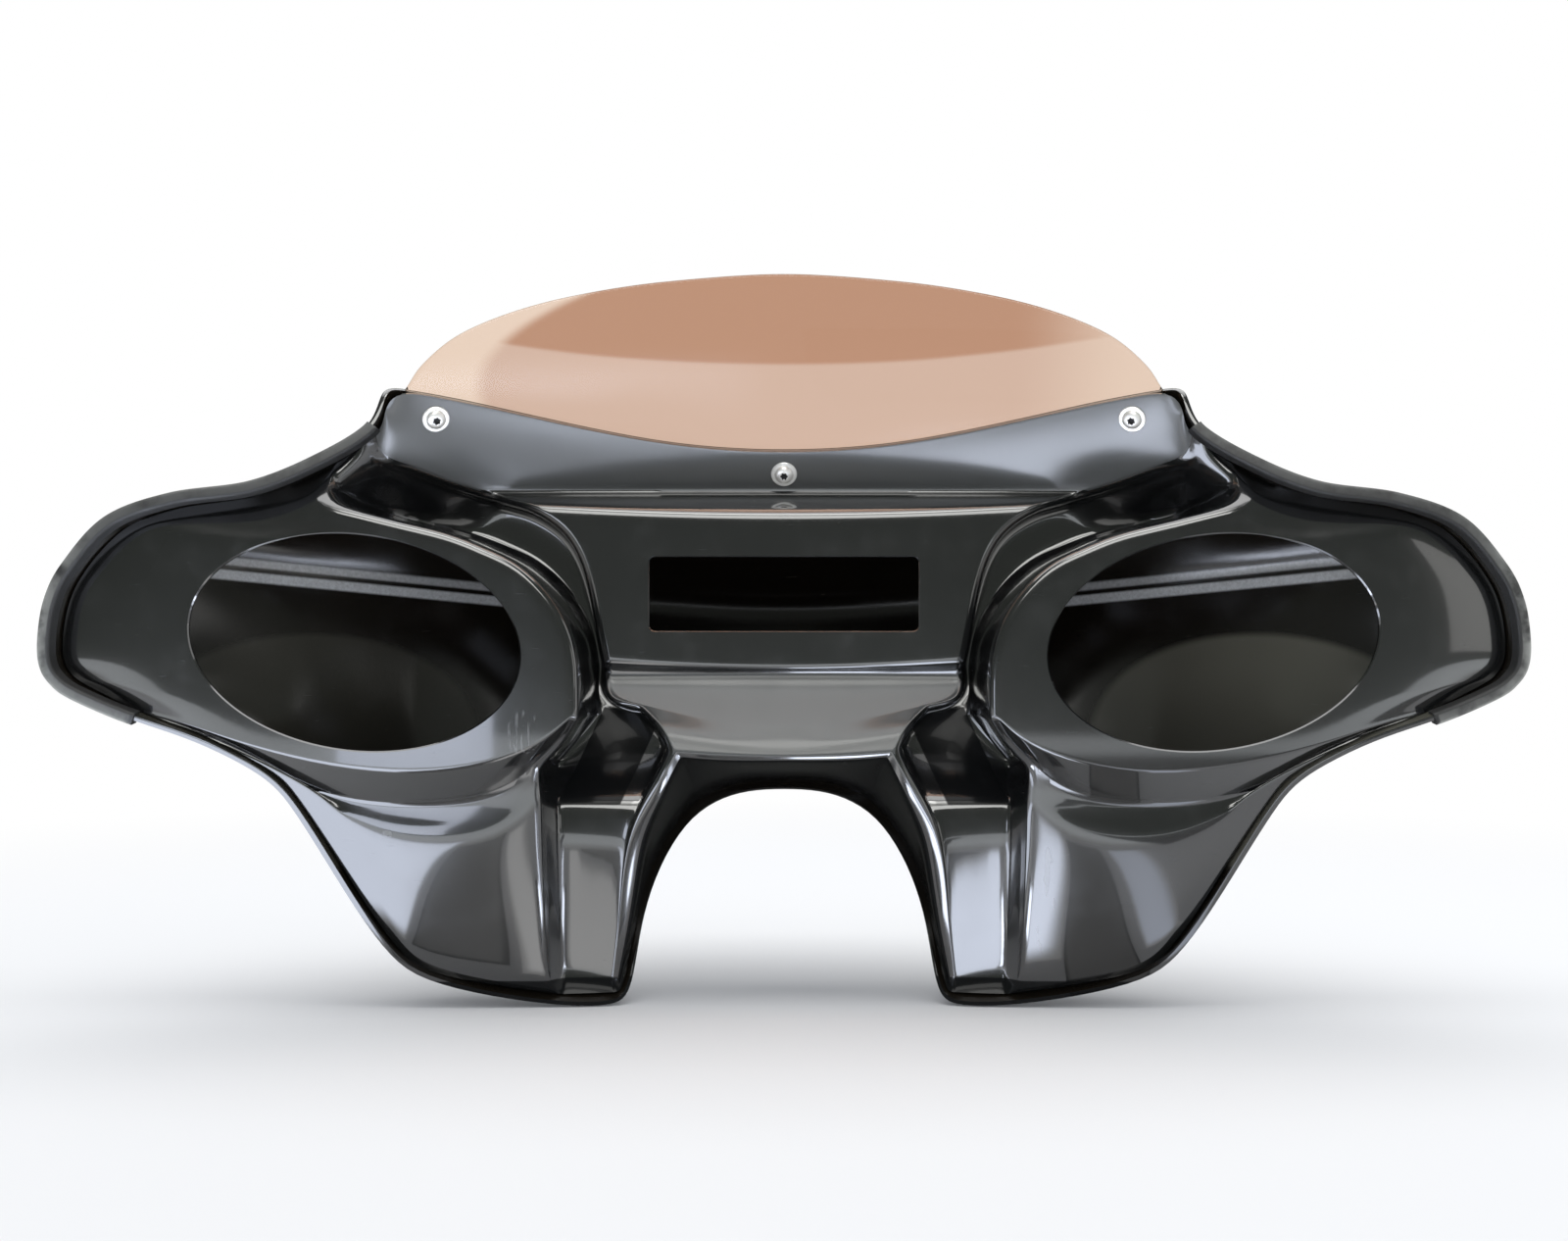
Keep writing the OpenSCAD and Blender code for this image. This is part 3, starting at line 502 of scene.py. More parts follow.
def turned_out(piece, merge=0.0):
    # Drops loose points, merges doubled ones and turns every face outwards
    mesh = bmesh.new()
    mesh.from_mesh(piece.data)
    bmesh.ops.delete(mesh, geom=[v for v in mesh.verts if not v.link_faces], context="VERTS")
    if merge:
        bmesh.ops.remove_doubles(mesh, verts=mesh.verts, dist=merge)
    bmesh.ops.recalc_face_normals(mesh, faces=mesh.faces)
    mesh.to_mesh(piece.data)
    mesh.free()
    return piece


def loft(name, rings):
    # A closed solid through rings of points, its first and last ring filled
    n = len(rings[0])
    faces = [list(range(n)), [(len(rings) - 1) * n + i for i in reversed(range(n))]]
    for j in range(len(rings) - 1):
        for i in range(n):
            a, b = j * n + i, j * n + (i + 1) % n
            faces.append([a, a + n, b + n, b])
    return turned_out(make_object(name, [p for r in rings for p in r], faces))


def cut(piece, tools):
    for tool in tools:
        hole = piece.modifiers.new("cut", "BOOLEAN")
        hole.operation, hole.solver, hole.object = "DIFFERENCE", "MANIFOLD", tool
        finished(piece)


def discard(tools):
    for tool in tools:
        bpy.data.objects.remove(tool)


holes = []
for centre, axis in screw_axes:
    across_hole = unit(np.cross(axis, [0, 0, 1]))
    up_hole = np.cross(across_hole, axis)
    turns = np.linspace(0, 2 * math.pi, 33)[:-1]
    circle = [(across_hole * math.cos(t) + up_hole * math.sin(t)) * hole_d / 2 for t in turns]
    holes.append(loft("screw_hole", [[centre + axis * h + c for c in circle] for h in (-20, 20)]))
cut(outer_shell, holes)
black = gloss_black("gloss_black_gel_coat")
mark_finish(outer_shell)
dress(outer_shell, black, "outer_shell")


# Inner fairing: one fibreglass moulding that carries the radio and the speakers. It is
# drawn as a net of stations from its top edge down. Across each station it runs out
# from the centre line over the middle panel, down into a channel and up to the pod.
arch, foot = 18, 25
edge_r, cove_r = 5.0, 2.0
pod_proud, channel_depth = 60.0, 34.0
radio_w, radio_h, radio_r, radio_z = 182.0, 50.0, 4.0, 38.0
speaker_l, speaker_w, speaker_x, speaker_z = 214.0, 138.0, 276.0, 6.0
speaker_tilt = math.radians(8)
panel_edge = [
    (268, 128), (255, 121), (232, 111), (206, 103), (199, 101), (179, 96), (170, 93), (151, 82),
    (139, 64), (132, 40), (128, 15), (123, -9), (123, -15), (124, -27), (117, -37), (97, -41),
    (84, -53), (77, -66), (86, -84), (97, -102), (104, -124), (108, -152), (110, -187),
    (115, -221), (115, -226),
]
pod_edge = [
    (303, 99), (277, 92), (250, 85), (224, 79), (214, 76), (203, 72), (192, 67), (173, 59),
    (156, 44), (142, 26), (134, 6), (132, -10), (131.5, -20), (131.5, -30), (131.5, -37),
    (132, -44), (143, -60), (160, -77), (159, -89), (158, -100), (158, -119), (157, -150),
    (156, -185), (155, -220), (155, -225),
]
centre_z = [
    136, 134, 127, 119, 111, 108, 96.5, 92, 80, radio_z + radio_h / 2 + 4, radio_z,
    radio_z - radio_h / 2 - 4, -13, -14, -28, -40, -50, -61, -69,
]
brow_y = [-25, -29]
cheek_edge_y = [-24, -30, -31, -26, -22, -19, -17, -16, -15]
lower_edge_y = [-44, -38, -37, -37, -36, -35, -33, -31, -29]
floor_rise_y = [-14, 1, 15, 28, channel_depth]
floor_low_y = [32, 28, 26, 22, 16, 8, -15, -18, -17, -16, -15, -14]
pod_bottom = [(160, -62), (200, -75), (245, -79), (300, -72), (345, -60), (385, -46)]
panel_top = [(186, -38, -92), (219, -38, -100), (267, -40, -100), (309, -42, -92), (337, -48, -69)]
shelf_y0, shelf_z0, shelf_slope = 10, -18, 0.85
corner_a = 0.88
s_side, s_channel, s_pod, s_wing, s_pod_end, s_panel, s_corner = 4.7, 6, 7, 9.6, 17.1, 18, 22.3
s_foot = (24, 25.3, 26.4)
s_arch = 29.3


def flange_y(x, z):
    return screen_face_y(x, z) + flange_off * math.sqrt((x / screen_r) ** 2 + 1 + lean_slope ** 2)


def floor_y(v):
    if v <= 13:
        return channel_depth - (16 * (3 - v) if v < 3 else 0)
    return float(line_at(floor_low_y, v - 14))


def edge_xz(v):
    return smooth_at(panel_edge, v - 1)


def pod_xz(v):
    return smooth_at(pod_edge, v - 1)


def across(p):
    return unit([-p[1], p[0]])


def edge_out(v):
    return across(edge_xz(v + 0.5) - edge_xz(v - 0.5))


def pod_in(v):
    return -across(pod_xz(v + 0.5) - pod_xz(v - 0.5))


def panel_y(v, x, z, side):
    if v <= 4:
        return flange_y(x, z)
    if v <= 5:
        return flange_y(x, z) - 3
    if v <= 6:
        return 5
    if v <= 12:
        return 0
    if v <= 13:
        return shelf_y0
    if v <= 16:
        return shelf_y0 + (z - shelf_z0) * shelf_slope
    return float(mix(line_at(brow_y, v - 17), line_at(cheek_edge_y, v - 17), side ** 3))


def edge_y(v):
    if v <= 16:
        x, z = edge_xz(v)
        return panel_y(v, x, z, 1)
    return float(line_at(cheek_edge_y, v - 17))


def pod_y(v):
    return -pod_proud if v <= 16 else float(line_at(lower_edge_y, v - 17))


def wall(k, h, draft):
    r, c = min(edge_r, 0.45 * h), min(cove_r, 0.3 * h)
    return [(-r, 0), (-0.29 * r, 0.29 * r), (0, r), (draft, h - c), (draft + c, h)][k]


def raised(p, y, d, w):
    return np.array([p[0] + d[0] * w[0], y + w[1], p[1] + d[1] * w[0]])


def edge_wall(k, v):
    floor_ = float(line_at(floor_rise_y, v - 1)) if v <= 5 else floor_y(v)
    return raised(edge_xz(v), edge_y(v), edge_out(v), wall(k, floor_ - edge_y(v), 0.5))


def pod_wall(k, v):
    shape = wall(k, floor_y(v) - pod_y(v), 1 + 7 * ramp(v, 17, 20))
    return raised(pod_xz(v), pod_y(v), pod_in(v), shape)


def seat_depth(s):
    return float(mix(mix(5, 18, ramp(s, 5, 7.5)), 6, ramp(s, s_low, s_low + 2)))


def seated(s):
    return seat(s, seat_depth(s))


def seat_s(a, v):
    if v == 0:
        if a <= corner_a:
            return None
        if a <= 1:
            return s_side + (s_channel - s_side) * (a - corner_a) / (1 - corner_a)
        if a <= 4:
            return s_channel + (s_pod - s_channel) * (a - 1) / 3
        return s_pod + (s_wing - s_pod) * (a - 4)
    if v == foot:
        if a <= 4:
            return float(mix(s_foot[1], s_foot[0], line_at([0, 0.06, 0.86, 1], a - 1)))
        return s_foot[0] + (s_corner - s_foot[0]) * (a - 4)
    if a < 5:
        return None
    if v <= 16:
        return s_wing + (s_pod_end - s_wing) * max(0.02, (v - 1) / 15)
    if v == 17:
        return (s_pod_end + s_panel) / 2
    return s_panel + (s_corner - s_panel) * (v - arch) / (foot - arch)


def middle(a, v):
    e = edge_wall(0, v)
    if v <= 1:
        if a <= corner_a:
            x, z = smooth_from_middle(seat_edge, 4 * a / corner_a)
            z -= 2 * v
        else:
            x, z = mix(seat_edge[4], panel_edge[0], (a - corner_a) / (1 - corner_a))
    elif a == 1:
        x, z = e[0], e[2]
    else:
        x, z = a * e[0], float(mix(centre_z[v], e[2], a * a))
    return np.array([x, e[1] if a == 1 and v > 4 else panel_y(v, x, z, a), z])


def channel(a, v):
    if v == 1:
        return mix(edge_wall(0, 1), pod_wall(0, 1), (a - 1) / 3)
    if 2 < a < 3:
        return mix(edge_wall(4, v), pod_wall(4, v), a - 2)
    side, k = (edge_wall, (a - 1) * 4) if a <= 2 else (pod_wall, (4 - a) * 4)
    low = min(3, math.floor(k))
    return mix(side(low, v), side(low + 1, v), k - low)


def patch(top, bottom, painted_shadow_side, outer, corners, f, w):
    c0, c1, c2, c3 = corners
    return mix(top, bottom, w) + mix(painted_shadow_side, outer, f) - mix(mix(c0, c1, f), mix(c2, c3, f), w)


def pod_top(f):
    q = seated(s_pod + (s_wing - s_pod) * f)
    c = unit([speaker_x - q[0], speaker_z - q[2]])
    return q + np.array([c[0], 0, c[1]]) * 10 * (1 - f ** 3)


def pod_low(f):
    a, b = pod_wall(0, 16), seated(s_pod_end)
    x, z = smooth_at([(a[0], a[2]), *pod_bottom, (b[0], b[2])], f * (len(pod_bottom) + 1))
    return np.array([x, -pod_proud, z])


def pod_face(f, v):
    w = (v - 1) / 15
    o = seated(seat_s(5, v))
    corners = (pod_top(0), pod_top(1), pod_low(0), pod_low(1))
    p = patch(pod_top(f), pod_low(f), pod_wall(0, v), o, corners, f, w)
    roll = min(1, max(0, (f - 0.7) / 0.3)) ** 2 * (o[1] + pod_proud)
    lip = 0.3 * (pod_top(f)[1] + pod_proud) * ramp(f, 0, 0.3) if v == 1 else 0
    return np.array([p[0], -pod_proud + max(roll, lip), p[2]])


def step_line(f):
    return smooth_at([pod_wall(0, 18), *panel_top, seated(s_panel)], f * (len(panel_top) + 1))


def lower_panel(f, v):
    w = (v - arch) / (foot - arch)
    low = seated(s_foot[0] + (s_corner - s_foot[0]) * f)
    corners = (step_line(0), step_line(1), seated(s_foot[0]), seated(s_corner))
    p = patch(step_line(f), low, pod_wall(0, v), seated(seat_s(5, v)), corners, f, w)
    return p - np.array([0, 5 * math.sin(math.pi * f) * math.sin(math.pi * w), 0])


def net(a, v):
    s = seat_s(a, v)
    if s is not None:
        return seated(s)
    if a <= 1:
        return middle(a, v)
    if a <= 4:
        return channel(a, v)
    f = a - 4
    if v <= 16:
        return pod_face(f, v)
    if v == 17:
        return pod_wall(0, 17) if f == 0 else mix(pod_low(f), step_line(f), 0.3)
    return lower_panel(f, v)


# Besides the even columns there is one close by each side of a rolled edge
cols = [
    0, 0.15, 0.3, 0.45, 0.6, 0.75, corner_a, 0.92, 0.96, 0.985, 1, 1.25, 1.5, 1.57, 1.75, 2,
    3, 3.25, 3.43, 3.5, 3.75, 4, 4.03, 4.12, 4.25, 4.4, 4.55, 4.7, 4.8, 4.9, 5,
]
edge_col = cols.index(1)
col_n = len(cols) - 1
stations = [*range(12), 11.85, 12, 12.25, 13, 14, 15, 15.8, 16, 16.25, 17, 17.75]
stations += range(arch, foot + 1)


def net_at(a, v):
    low = math.floor(v)
    return net(a, v) if v == low else mix(net(a, low), net(a, low + 1), v - low)


half_net = [
    [net_at(1 if v > arch and i < edge_col else cols[i], v) for i in range(col_n + 1)] for v in stations
]
row_of = {v: j for j, v in enumerate(stations)}
arch_row, foot_row = row_of[arch], row_of[foot]
leg = foot - arch
arch_k = leg + edge_col
tunnel_rows, tunnel_depth = 4, 5


def roll_start(k):
    return half_net[foot_row - k][edge_col] if k <= leg else half_net[arch_row][arch_k - k]


def tunnel(k, m, extra=0.0):
    if k == 0:
        t = m / tunnel_rows
        s = s_foot[1] + (s_foot[2] - s_foot[1]) * t
        return seat(s, float(mix(seat_depth(s_foot[1]), tunnel_depth, t)) + extra)
    q = roll_start(k)
    if k <= leg:
        o = edge_out(foot - k)
        d = unit([-o[0], -o[1] - 1.2 * ramp(k, leg - 3, leg)])
        r = min(4 * k, float(mix(12, 8, ramp(k, leg - 4, leg))))
        s = s_foot[2] + (s_arch - s_foot[2]) * k / leg
    else:
        a = cols[arch_k - k]
        d = unit([-a ** 3, -1])
        r = float(mix(8, 5, (k - leg) / edge_col))
        s = s_arch + (s_end - s_arch) * (1 - a)
    turn = q + np.array([d[0] * r, 0.7 * r, d[1] * r])
    if m == 1:
        return q + np.array([0.7 * d[0] * r, 0.2 * r, 0.7 * d[1] * r])
    if m == 2:
        return turn
    end = seat(s, tunnel_depth + (extra if m == tunnel_rows else 0))
    return end if m == tunnel_rows else mix(turn, end, 0.5) + np.array([1.5 if k < leg else 0, 0, 0])


half_tunnel = [[tunnel(k, m) for k in range(arch_k + 1)] for m in range(1, tunnel_rows + 1)]


def net_normal(j, i):
    row = half_net[j]
    if i == 0:
        left = flipped(row[1])
    elif j > arch_row and i == edge_col:
        left = half_tunnel[0][foot_row - j]
    else:
        left = row[i - 1]
    right = row[min(col_n, i + 1)]
    up = half_net[max(0, j - 1)][i]
    under_arch = j == arch_row and i < edge_col
    down = half_tunnel[0][arch_k - i] if under_arch else half_net[min(foot_row, j + 1)][i]
    n = unit(np.cross(right - left, down - up))
    return unit([0, n[1], n[2]]) if i == 0 else n


def tunnel_normal(k, m):
    row = half_tunnel[m - 1]
    dk = (flipped(row[k - 1]) if k == arch_k else row[k + 1]) - row[max(0, k - 1)]
    before = roll_start(k) if m == 1 else half_tunnel[m - 2][k]
    n = unit(np.cross(half_tunnel[min(tunnel_rows, m + 1) - 1][k] - before, dk))
    return unit([0, n[1], n[2]]) if k == arch_k else n


def seat_back(a, v):
    s = seat_s(a, v)
    return None if s is None else seat(s, seat_depth(s) + skin_t)


def net_back(j, i):
    if j > arch_row and i < edge_col:
        return half_net[j][i] + np.array([0, skin_t, 0])
    a, v = cols[i], stations[j]
    low = math.floor(v)
    first, second = seat_back(a, low), seat_back(a, min(foot, low + 1))
    if first is None or (v > low and second is None):
        return half_net[j][i] + net_normal(j, i) * skin_t
    return mix(first, second, v - low) if v > low else first


def tunnel_back(k, m):
    if k == 0 or m == tunnel_rows:
        return tunnel(k, m, skin_t)
    return half_tunnel[m - 1][k] + tunnel_normal(k, m) * skin_t


skin_points = []
for inside in (False, True):
    for j in range(foot_row + 1):
        row = [net_back(j, i) if inside else half_net[j][i] for i in range(col_n + 1)]
        skin_points += [flipped(p) for p in row[:0:-1]] + row
    for m in range(1, tunnel_rows + 1):
        row = [tunnel_back(k, m) if inside else half_tunnel[m - 1][k] for k in range(arch_k + 1)]
        skin_points += row + [flipped(p) for p in row[-2::-1]]
wide = 2 * col_n + 1
path_n = 2 * arch_k
base = wide * (foot_row + 1)
front_n = len(skin_points) // 2
path = []
for k in range(path_n + 1):
    r, side = min(k, path_n - k), 1 if k <= arch_k else -1
    row, i = (foot_row - r, edge_col) if r <= leg else (arch_row, arch_k - r)
    path.append(row * wide + col_n + side * i)


def tunnel_id(k, m):
    return path[k] if m == 0 else base + (m - 1) * (path_n + 1) + k


skin_faces = []
for j in range(foot_row):
    for i in range(wide - 1):
        if j < arch_row or i < col_n - edge_col or i >= col_n + edge_col:
            p = j * wide + i
            skin_faces.append([p, p + 1, p + 1 + wide, p + wide])
for m in range(tunnel_rows):
    for k in range(path_n):
        places = ((k + 1, m), (k, m), (k, m + 1), (k + 1, m + 1))
        skin_faces.append([tunnel_id(*place) for place in places])
loop = list(range(wide))
loop += [j * wide + wide - 1 for j in range(1, foot_row + 1)]
loop += [foot_row * wide + i for i in range(wide - 2, col_n + edge_col - 1, -1)]
loop += [tunnel_id(0, m) for m in range(1, tunnel_rows + 1)]
loop += [tunnel_id(k, tunnel_rows) for k in range(1, path_n + 1)]
loop += [tunnel_id(path_n, m) for m in range(tunnel_rows - 1, 0, -1)]
loop += [foot_row * wide + i for i in range(col_n - edge_col, -1, -1)]
loop += [j * wide for j in range(foot_row - 1, 0, -1)]
front_faces = len(skin_faces)
skin_faces = [f[::-1] for f in skin_faces] + [[i + front_n for i in f] for f in skin_faces]
skin_creases = []
for p, q in zip(loop, loop[1:] + loop[:1]):
    skin_faces.append([p, q, q + front_n, p + front_n])
    skin_creases += [((p, q), 0.8), ((p + front_n, q + front_n), 0.8)]
# The inner corners of the step and of the cheeks' tops have hardly any radius
for v, first, last in ((arch, cols.index(4), col_n), (20, cols.index(1.75), cols.index(3.25))):
    p = row_of[v] * wide + col_n
    for i in range(first, last):
        skin_creases += [((p + side * i, p + side * (i + 1)), 0.45) for side in (1, -1)]
inner_fairing = make_object("inner_fairing_gloss", skin_points, skin_faces, skin_creases, 2)
# Marks 1 for the bare inside, 2 for the satin flange and shelf, which also carry a painted sheen, and 3 for
# the dull tunnel, painted as shade
for polygon in inner_fairing.data.polygons:
    polygon.material_index = int(front_faces <= polygon.index < 2 * front_faces)
    if polygon.index < front_faces and max(polygon.vertices) < base:
        spots = [divmod(v, wide) for v in polygon.vertices]
        v = stations[min(row for row, _ in spots)]
        if max(abs(i - col_n) for _, i in spots) <= edge_col and (v < 4 or 13 <= v < arch):
            polygon.material_index = 2
    elif polygon.index < front_faces and min(polygon.vertices) >= base:
        polygon.material_index = 3
turned_out(inner_fairing)
finished(inner_fairing)


def opening(outline, face_y, ease=0.9):
    # A cutter through a flat face, with a small bevel at its mouth
    def at(y, grow):
        return [np.array([x + nx * grow, y, z + nz * grow]) for x, z, nx, nz in outline]

    steps = ((-20, ease), (0, ease), (ease, 0), (20, 0))
    return loft("opening", [at(face_y + y, grow) for y, grow in steps])


def speaker_outline(side):
    outline = []
    for t in np.linspace(0, 2 * math.pi, 145)[:-1]:
        u, w = speaker_l / 2 * math.cos(t), speaker_w / 2 * math.sin(t)
        n = unit([math.cos(t) / speaker_l, math.sin(t) / speaker_w])
        c, s = math.cos(speaker_tilt), math.sin(speaker_tilt)
        outline.append((side * (speaker_x + u * c - w * s), speaker_z + u * s + w * c,
                        side * (n[0] * c - n[1] * s), n[0] * s + n[1] * c))
    return outline


radio_outline = []
for cx, cz, start in ((1, 1, 0), (-1, 1, 90), (-1, -1, 180), (1, -1, 270)):
    for t in range(0, 91, 10):
        nx, nz = math.cos(math.radians(start + t)), math.sin(math.radians(start + t))
        radio_outline.append((cx * (radio_w / 2 - radio_r) + nx * radio_r,
                              radio_z + cz * (radio_h / 2 - radio_r) + nz * radio_r, nx, nz))
openings = [opening(speaker_outline(side), -pod_proud) for side in (1, -1)]
openings.append(opening(radio_outline, 0.0, 0.7))
cut(inner_fairing, openings + holes)
discard(openings)
mark_finish(inner_fairing)
dress(inner_fairing, black, "inner_fairing")

# Windshield: one sheet of lightly tinted acrylic, bent and clamped between the shell and
# the inner fairing's flange. Its top edge is polished round.
screen_outline = [
    (-74, -70, 0.936), (0, 0, 1), (74, 70, 0.936), (130, 125, 0.82), (174, 168, 0.667),
    (211, 205, 0.46), (235, 232, 0.218), (248, 246, 0),
]
screen_rise, screen_overlap = 112.0, 27.0
sheet_cols, sheet_rows = 120, 26


def sheet_point(t, w, off):
    top_x, low_x, share = smooth_at(screen_outline, abs(t) + 1)
    corner = seat_edge[4][1]
    top = (top_x, corner + (seat_edge[0][1] + screen_rise - corner) * share)
    x, z = mix(top, (low_x, seat_z(low_x) - screen_overlap * math.cos(lean)), 1 - w)
    return on_screen(math.copysign(x, t), z, off)


sheet_n = sheet_cols + 1
sheet_points, sheet_faces = [], []
for off in (0.0, screen_t):
    for j in range(sheet_rows + 1):
        sheet_points += [sheet_point(-6 + 12 * i / sheet_cols, j / sheet_rows, off) for i in range(sheet_n)]
back_n = len(sheet_points) // 2
for j in range(sheet_rows):
    for i in range(sheet_cols):
        p = j * sheet_n + i
        sheet_faces += [[p, p + 1, p + 1 + sheet_n, p + sheet_n],
                        [p + back_n, p + sheet_n + back_n, p + 1 + sheet_n + back_n, p + 1 + back_n]]
border = list(range(sheet_n)) + [j * sheet_n + sheet_cols for j in range(1, sheet_rows + 1)]
border += [sheet_rows * sheet_n + i for i in range(sheet_cols - 1, -1, -1)]
border += [j * sheet_n for j in range(sheet_rows - 1, 0, -1)]
for p, q in zip(border, border[1:] + border[:1]):
    sheet_faces.append([q, p, p + back_n, q + back_n])
windshield = make_object("windshield_sheet", sheet_points, sheet_faces)
ease = windshield.modifiers.new("ease", "BEVEL")
ease.width, ease.segments, ease.limit_method, ease.angle_limit = 0.0012, 3, "ANGLE", math.radians(50)
finished(windshield)
cut(windshield, holes)
discard(holes)
tint = Paint("tinted_acrylic")
across_x, _, up_z = tint.axes()
wander = (tint.noise(7.0, 2.0) - 0.5) * 0.01
# Painted shadow and painted reflection in the tint: the sheet is darker to the right of a curved line near
# its left end, darker still above an arc across its top, and goes back to the clear tint towards its right
# end
painted_reflection_band = (up_z - across_x * across_x * 0.26 + wander * 0.2).over(0.1925, 0.1955)
right_end = across_x.over(0.15, 0.24) * 0.8
rise = up_z - 0.16
painted_shadow_side = (across_x + rise * 0.536 - rise * rise * 19.4 + wander).over(-0.206, -0.192)
# Colours: the clear tint, the tint in painted shadow, and the tint in painted shadow under the painted
# reflection band
clear, low, shadow_and_band_tone = (0.82, 0.645, 0.52, 1), (0.66, 0.47, 0.37, 1), (0.515, 0.29, 0.19, 1)
tint_with_painted_shade = tint.blend(painted_shadow_side, clear, tint.blend(right_end, tint.blend(painted_reflection_band, low, shadow_and_band_tone), clear))
tint.set(
    Base_Color=tint_with_painted_shade, Roughness=0.02, IOR=1.18, Transmission_Weight=1.0,
    Normal=tint.bump(tint.noise(5.0, 1.0), 0.0006),
)
dress(windshield, tint.material, "windshield")

# Windshield screws: three polished steel dome screws, each on a washer, with a hex nut
# behind the shell. The three stacks are alike and stand square to the sheet.
head_d, head_h, screw_d, socket_af = 13.0, 3.4, 5.0, 4.0
washer_d, washer_t, nut_af, nut_h, seat_play = 18.0, 1.2, 9.0, 5.0, 0.3
washer_top = -screen_gap - skin_t - seat_play
head_top = washer_top - washer_t
nut_base = shell_off + seat_play


def turned(name, profile, sides=48, flats=()):
    # A turned part about +Z from (radius, height) pairs; rings in flats are hexagons
    points, faces = [], []
    for j, (r, h) in enumerate(profile):
        for i in range(sides):
            t = 2 * math.pi * i / sides
            k = 1.0
            if j in flats:
                k = math.cos(math.pi / 6) / math.cos((t + math.pi / 6) % (math.pi / 3) - math.pi / 6)
            points.append((r * k * math.cos(t), r * k * math.sin(t), h))
    n = len(profile)
    for j in range(n):
        for i in range(sides):
            a, b = j * sides + i, j * sides + (i + 1) % sides
            c, d = (j + 1) % n * sides + (i + 1) % sides, (j + 1) % n * sides + i
            faces.append([a, b, c, d])
    return turned_out(make_object(name, points, faces), 1e-6)


socket_r = socket_af / 2 / math.cos(math.pi / 6)
floor_h = head_top - head_h + 2.0
dome = []
for r in np.linspace(socket_r + 0.35, head_d / 2, 12):
    crown = (1 - (r / (head_d / 2 + 0.05)) ** 3.2) ** 0.62
    dome.append((float(r), head_top - 0.3 - (head_h - 0.3) * crown))
shank_r, shank_end = screw_d / 2, nut_base + nut_h + 1.5
screw_profile = [(1e-4, floor_h + 0.4), (socket_r, floor_h), (socket_r, dome[0][1] + 0.1)] + dome
screw_profile += [(head_d / 2 - 0.2, head_top), (shank_r, head_top), (shank_r, shank_end - 0.5)]
screw_profile += [(shank_r - 0.5, shank_end), (1e-4, shank_end)]
screw_shape = turned("screw_shape", screw_profile, flats=(1, 2))
# The hex socket is painted dark inside, as shade; the attribute tells the material where
socket_mark = screw_shape.data.attributes.new("painted_socket_shade", "FLOAT", "FACE")
for polygon in screw_shape.data.polygons:
    centre = polygon.center * 1000
    in_hole = math.hypot(centre.x, centre.y) < socket_r + 0.05 and centre.z < head_top
    socket_mark.data[polygon.index].value = float(in_hole)
bore = screw_d / 2 + 0.1
washer_shape = turned("washer_shape", [
    (bore, head_top), (washer_d / 2 - 0.5, head_top), (washer_d / 2, head_top + 0.5),
    (washer_d / 2, washer_top), (bore, washer_top),
])
nut_r = nut_af / 2 / math.cos(math.pi / 6)
nut_top = nut_base + nut_h
nut_shape = turned("nut_shape", [
    (bore, nut_base), (nut_r, nut_base), (nut_r, nut_top - 0.9), (nut_af / 2 - 0.2, nut_top),
    (bore, nut_top),
], flats=(1, 2))

steel = Paint("polished_steel")
turning = steel.noise(900.0, 2.0)
marks = steel.noise(160.0, 3.0, 0.6)
painted_socket_shade = steel.mark("painted_socket_shade")
wear_and_painted_highlight = steel.blend(marks.over(0.4, 0.7), (0.92, 0.91, 0.88, 1), (0.80, 0.79, 0.76, 1))
# Painted shade: the hex socket is near black, hardly metallic and rougher
steel.set(
    Base_Color=steel.blend(painted_socket_shade, wear_and_painted_highlight, (0.012, 0.012, 0.013, 1)),
    Metallic=0.45 - painted_socket_shade * 0.4, Roughness=0.34 + marks.over(0.45, 0.75) * 0.1 + painted_socket_shade * 0.3,
    Normal=steel.bump(turning, 0.00001),
)

# One tree sets a shape on each screw axis; it is used for screws, washers and nuts
stack = bpy.data.node_groups.new("set_on_screw_axes", "GeometryNodeTree")
for name, way, kind in (
    ("Geometry", "INPUT", "Geometry"), ("Shape", "INPUT", "Object"), ("Finish", "INPUT", "Material"),
    ("Geometry", "OUTPUT", "Geometry"),
):
    stack.interface.new_socket(name, in_out=way, socket_type=f"NodeSocket{kind}")
inputs = {item.name: item.identifier for item in stack.interface.items_tree if item.in_out == "INPUT"}
given, result, info, axis, align, put, real, coat = (stack.nodes.new(kind) for kind in (
    "NodeGroupInput", "NodeGroupOutput", "GeometryNodeObjectInfo", "GeometryNodeInputNamedAttribute",
    "FunctionNodeAlignRotationToVector", "GeometryNodeInstanceOnPoints",
    "GeometryNodeRealizeInstances", "GeometryNodeSetMaterial",
))
axis.data_type, align.axis = "FLOAT_VECTOR", "Z"
axis.inputs["Name"].default_value = "axis"
for start, output, end, socket in (
    (given, "Shape", info, "Object"), (given, "Geometry", put, "Points"),
    (info, "Geometry", put, "Instance"), (axis, "Attribute", align, "Vector"),
    (align, "Rotation", put, "Rotation"), (put, "Instances", real, "Geometry"),
    (real, "Geometry", coat, "Geometry"), (given, "Finish", coat, "Material"),
    (coat, "Geometry", result, "Geometry"),
):
    stack.links.new(start.outputs[output], end.inputs[socket])
